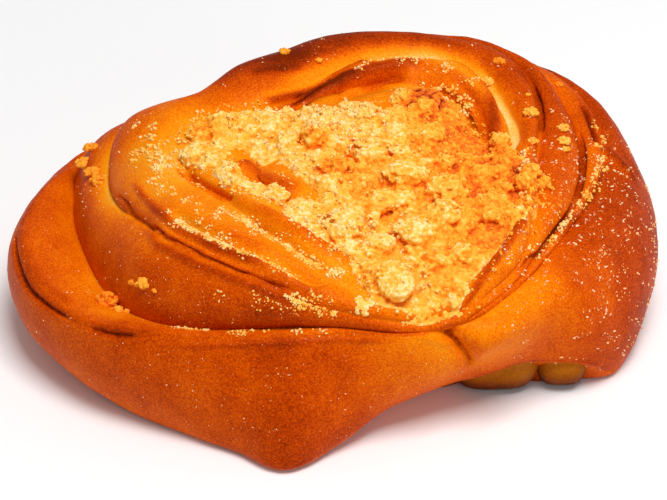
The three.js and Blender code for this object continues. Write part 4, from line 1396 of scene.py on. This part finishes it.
def crumb_material(name, translucence):
    """Baked butter crumbs: pale yellow, browner in places, more orange where shade is painted on
    their sides and in their hollows, grainy and slightly translucent.
    """
    material, tree, shader = new_material(name)
    height, own = add_granules(tree, CRUMB_GRAINS["size"])
    grains = around_zero(tree, own, CRUMB_GRAINS["browning"])
    uneven = maths(tree, "ADD", add_patches(tree, *CRUMB_SPECKLES), grains)
    toast = maths(tree, "ADD", read_value(tree, "toast"), uneven)
    tree.links.new(add_ramp(tree, toast, CRUMB_COLOURS), shader.inputs["Base Color"])
    bumps = add_bump(tree, height, CRUMB_GRAINS["depth"], CRUMB_GRAINS["strength"])
    tree.links.new(add_pores(tree, *CRUMB_PORES, bumps), shader.inputs["Normal"])
    set_inputs(shader, {**CRUMB_FINISH, "Subsurface Weight": translucence})
    return material


SUGAR_COLOURS = [(0.35, "#ffe2b8"), (0.65, "#f4ac58")]
SUGAR_PATCHES = 3  # how far across the places are between which its colour changes


def sugar_material():
    """Pale grains of sugar and flour with a slight gloss."""
    material, tree, shader = new_material("baked_sugar")
    tint = add_ramp(tree, add_noise(tree, SUGAR_PATCHES), SUGAR_COLOURS)
    tree.links.new(tint, shader.inputs["Base Color"])
    set_inputs(shader, {"Roughness": 0.35})
    return material


def floor_material():
    material, _, shader = new_material("studio_floor")
    set_inputs(shader, {"Base Color": (0.93, 0.93, 0.93, 1), "Roughness": 0.9})
    return material


# ---- pieces -------------------------------------------------------------------------------
def finish_piece(piece, material, slot, *nodes):
    """Gives a piece its material and body, and hides the CAD nodes that it stands for. The slot
    is not used.
    """
    piece.data.materials.clear()
    piece.data.materials.append(material)
    if nodes:
        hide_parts(*nodes)
    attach(piece, "root")


crust = dough_material("browned_crust", DOUGH_COLOURS)
baked_crumb = crumb_material("butter_crumb", 0.35)
loose_crumb = crumb_material("loose_crumb", 0)

dough = make_object("dough", dough_points, dough_faces)
give_values(dough, "bake", dough_bake_and_shade)
finish_piece(dough, crust, "dough", "bun")
rolls = build_tucked_rolls()
finish_piece(rolls, dough_material("unglazed_shaded_dough", SHADED_ROLL_COLOURS), "dough", "bun")
loose = build_loose_crumbs(np.random.default_rng(SEED + 1))
finish_piece(loose, loose_crumb, "crumb", "bun")
sugar = build_sugar(np.random.default_rng(SEED + 2))
finish_piece(sugar, sugar_material(), "crumb")
bed = build_crumb_bed(np.random.default_rng(SEED + 3))
finish_piece(bed, baked_crumb, "crumb", "streusel")
grains = build_crumb_grains(np.random.default_rng(SEED + 4), bed)
finish_piece(grains, loose_crumb, "crumb", "streusel")


# ---- studio -------------------------------------------------------------------------------
CAMERA = {"elevation": 36, "distance": 560, "lens": 150, "aim": [0, 0, 18]}
# Square soft lights, in metres: [place, side, power].
SOFTBOXES = {
    "overhead": [(0.1, -0.2, 0.8), 0.35, 5.5],
    "back_right": [(0.65, 0.35, 0.3), 0.3, 0.5],
    "front_right": [(0.5, -0.6, 0.3), 0.4, 0.9],
}
LIGHT_AIM = (0, 0, 0.02)
FLOOR_REACH = 3.0  # from the middle to each side, in metres
AIR_LIGHT = 0.34  # strength of the white light from all sides


def aimed(thing, place, target):
    thing.location = place
    thing.rotation_mode = "QUATERNION"
    thing.rotation_quaternion = (Vector(target) - Vector(place)).to_track_quat("-Z", "Y")


def add_camera():
    camera = in_scene("camera", bpy.data.cameras.new("camera"))
    camera.data.lens = CAMERA["lens"]
    elevation = math.radians(CAMERA["elevation"])
    back = np.array([0, -math.cos(elevation), math.sin(elevation)]) * CAMERA["distance"]
    aimed(camera, placed(CAMERA["aim"] + back), placed(CAMERA["aim"]))
    bpy.context.scene.camera = camera


def add_softboxes():
    """The soft lights, each turned to the bun."""
    for name, (place, side, power) in SOFTBOXES.items():
        light = bpy.data.lights.new(name, "AREA")
        light.size = side
        light.energy = power
        aimed(in_scene(name, light), place, LIGHT_AIM)


def add_floor():
    mesh = bpy.data.meshes.new("floor")
    ways = [(-1, -1), (1, -1), (1, 1), (-1, 1)]
    corners = [(x * FLOOR_REACH, y * FLOOR_REACH, 0) for x, y in ways]
    mesh.from_pydata(corners, [], [(0, 1, 2, 3)])
    floor = in_scene("floor", mesh)
    floor.data.materials.append(floor_material())


def add_studio_air():
    world = bpy.data.worlds.new("studio")
    world.use_nodes = True
    background = world.node_tree.nodes["Background"]
    set_inputs(background, {"Color": (1, 1, 1, 1), "Strength": AIR_LIGHT})
    bpy.context.scene.world = world
    bpy.context.scene.view_settings.view_transform = "Standard"


add_camera()
add_softboxes()
add_floor()
add_studio_air()
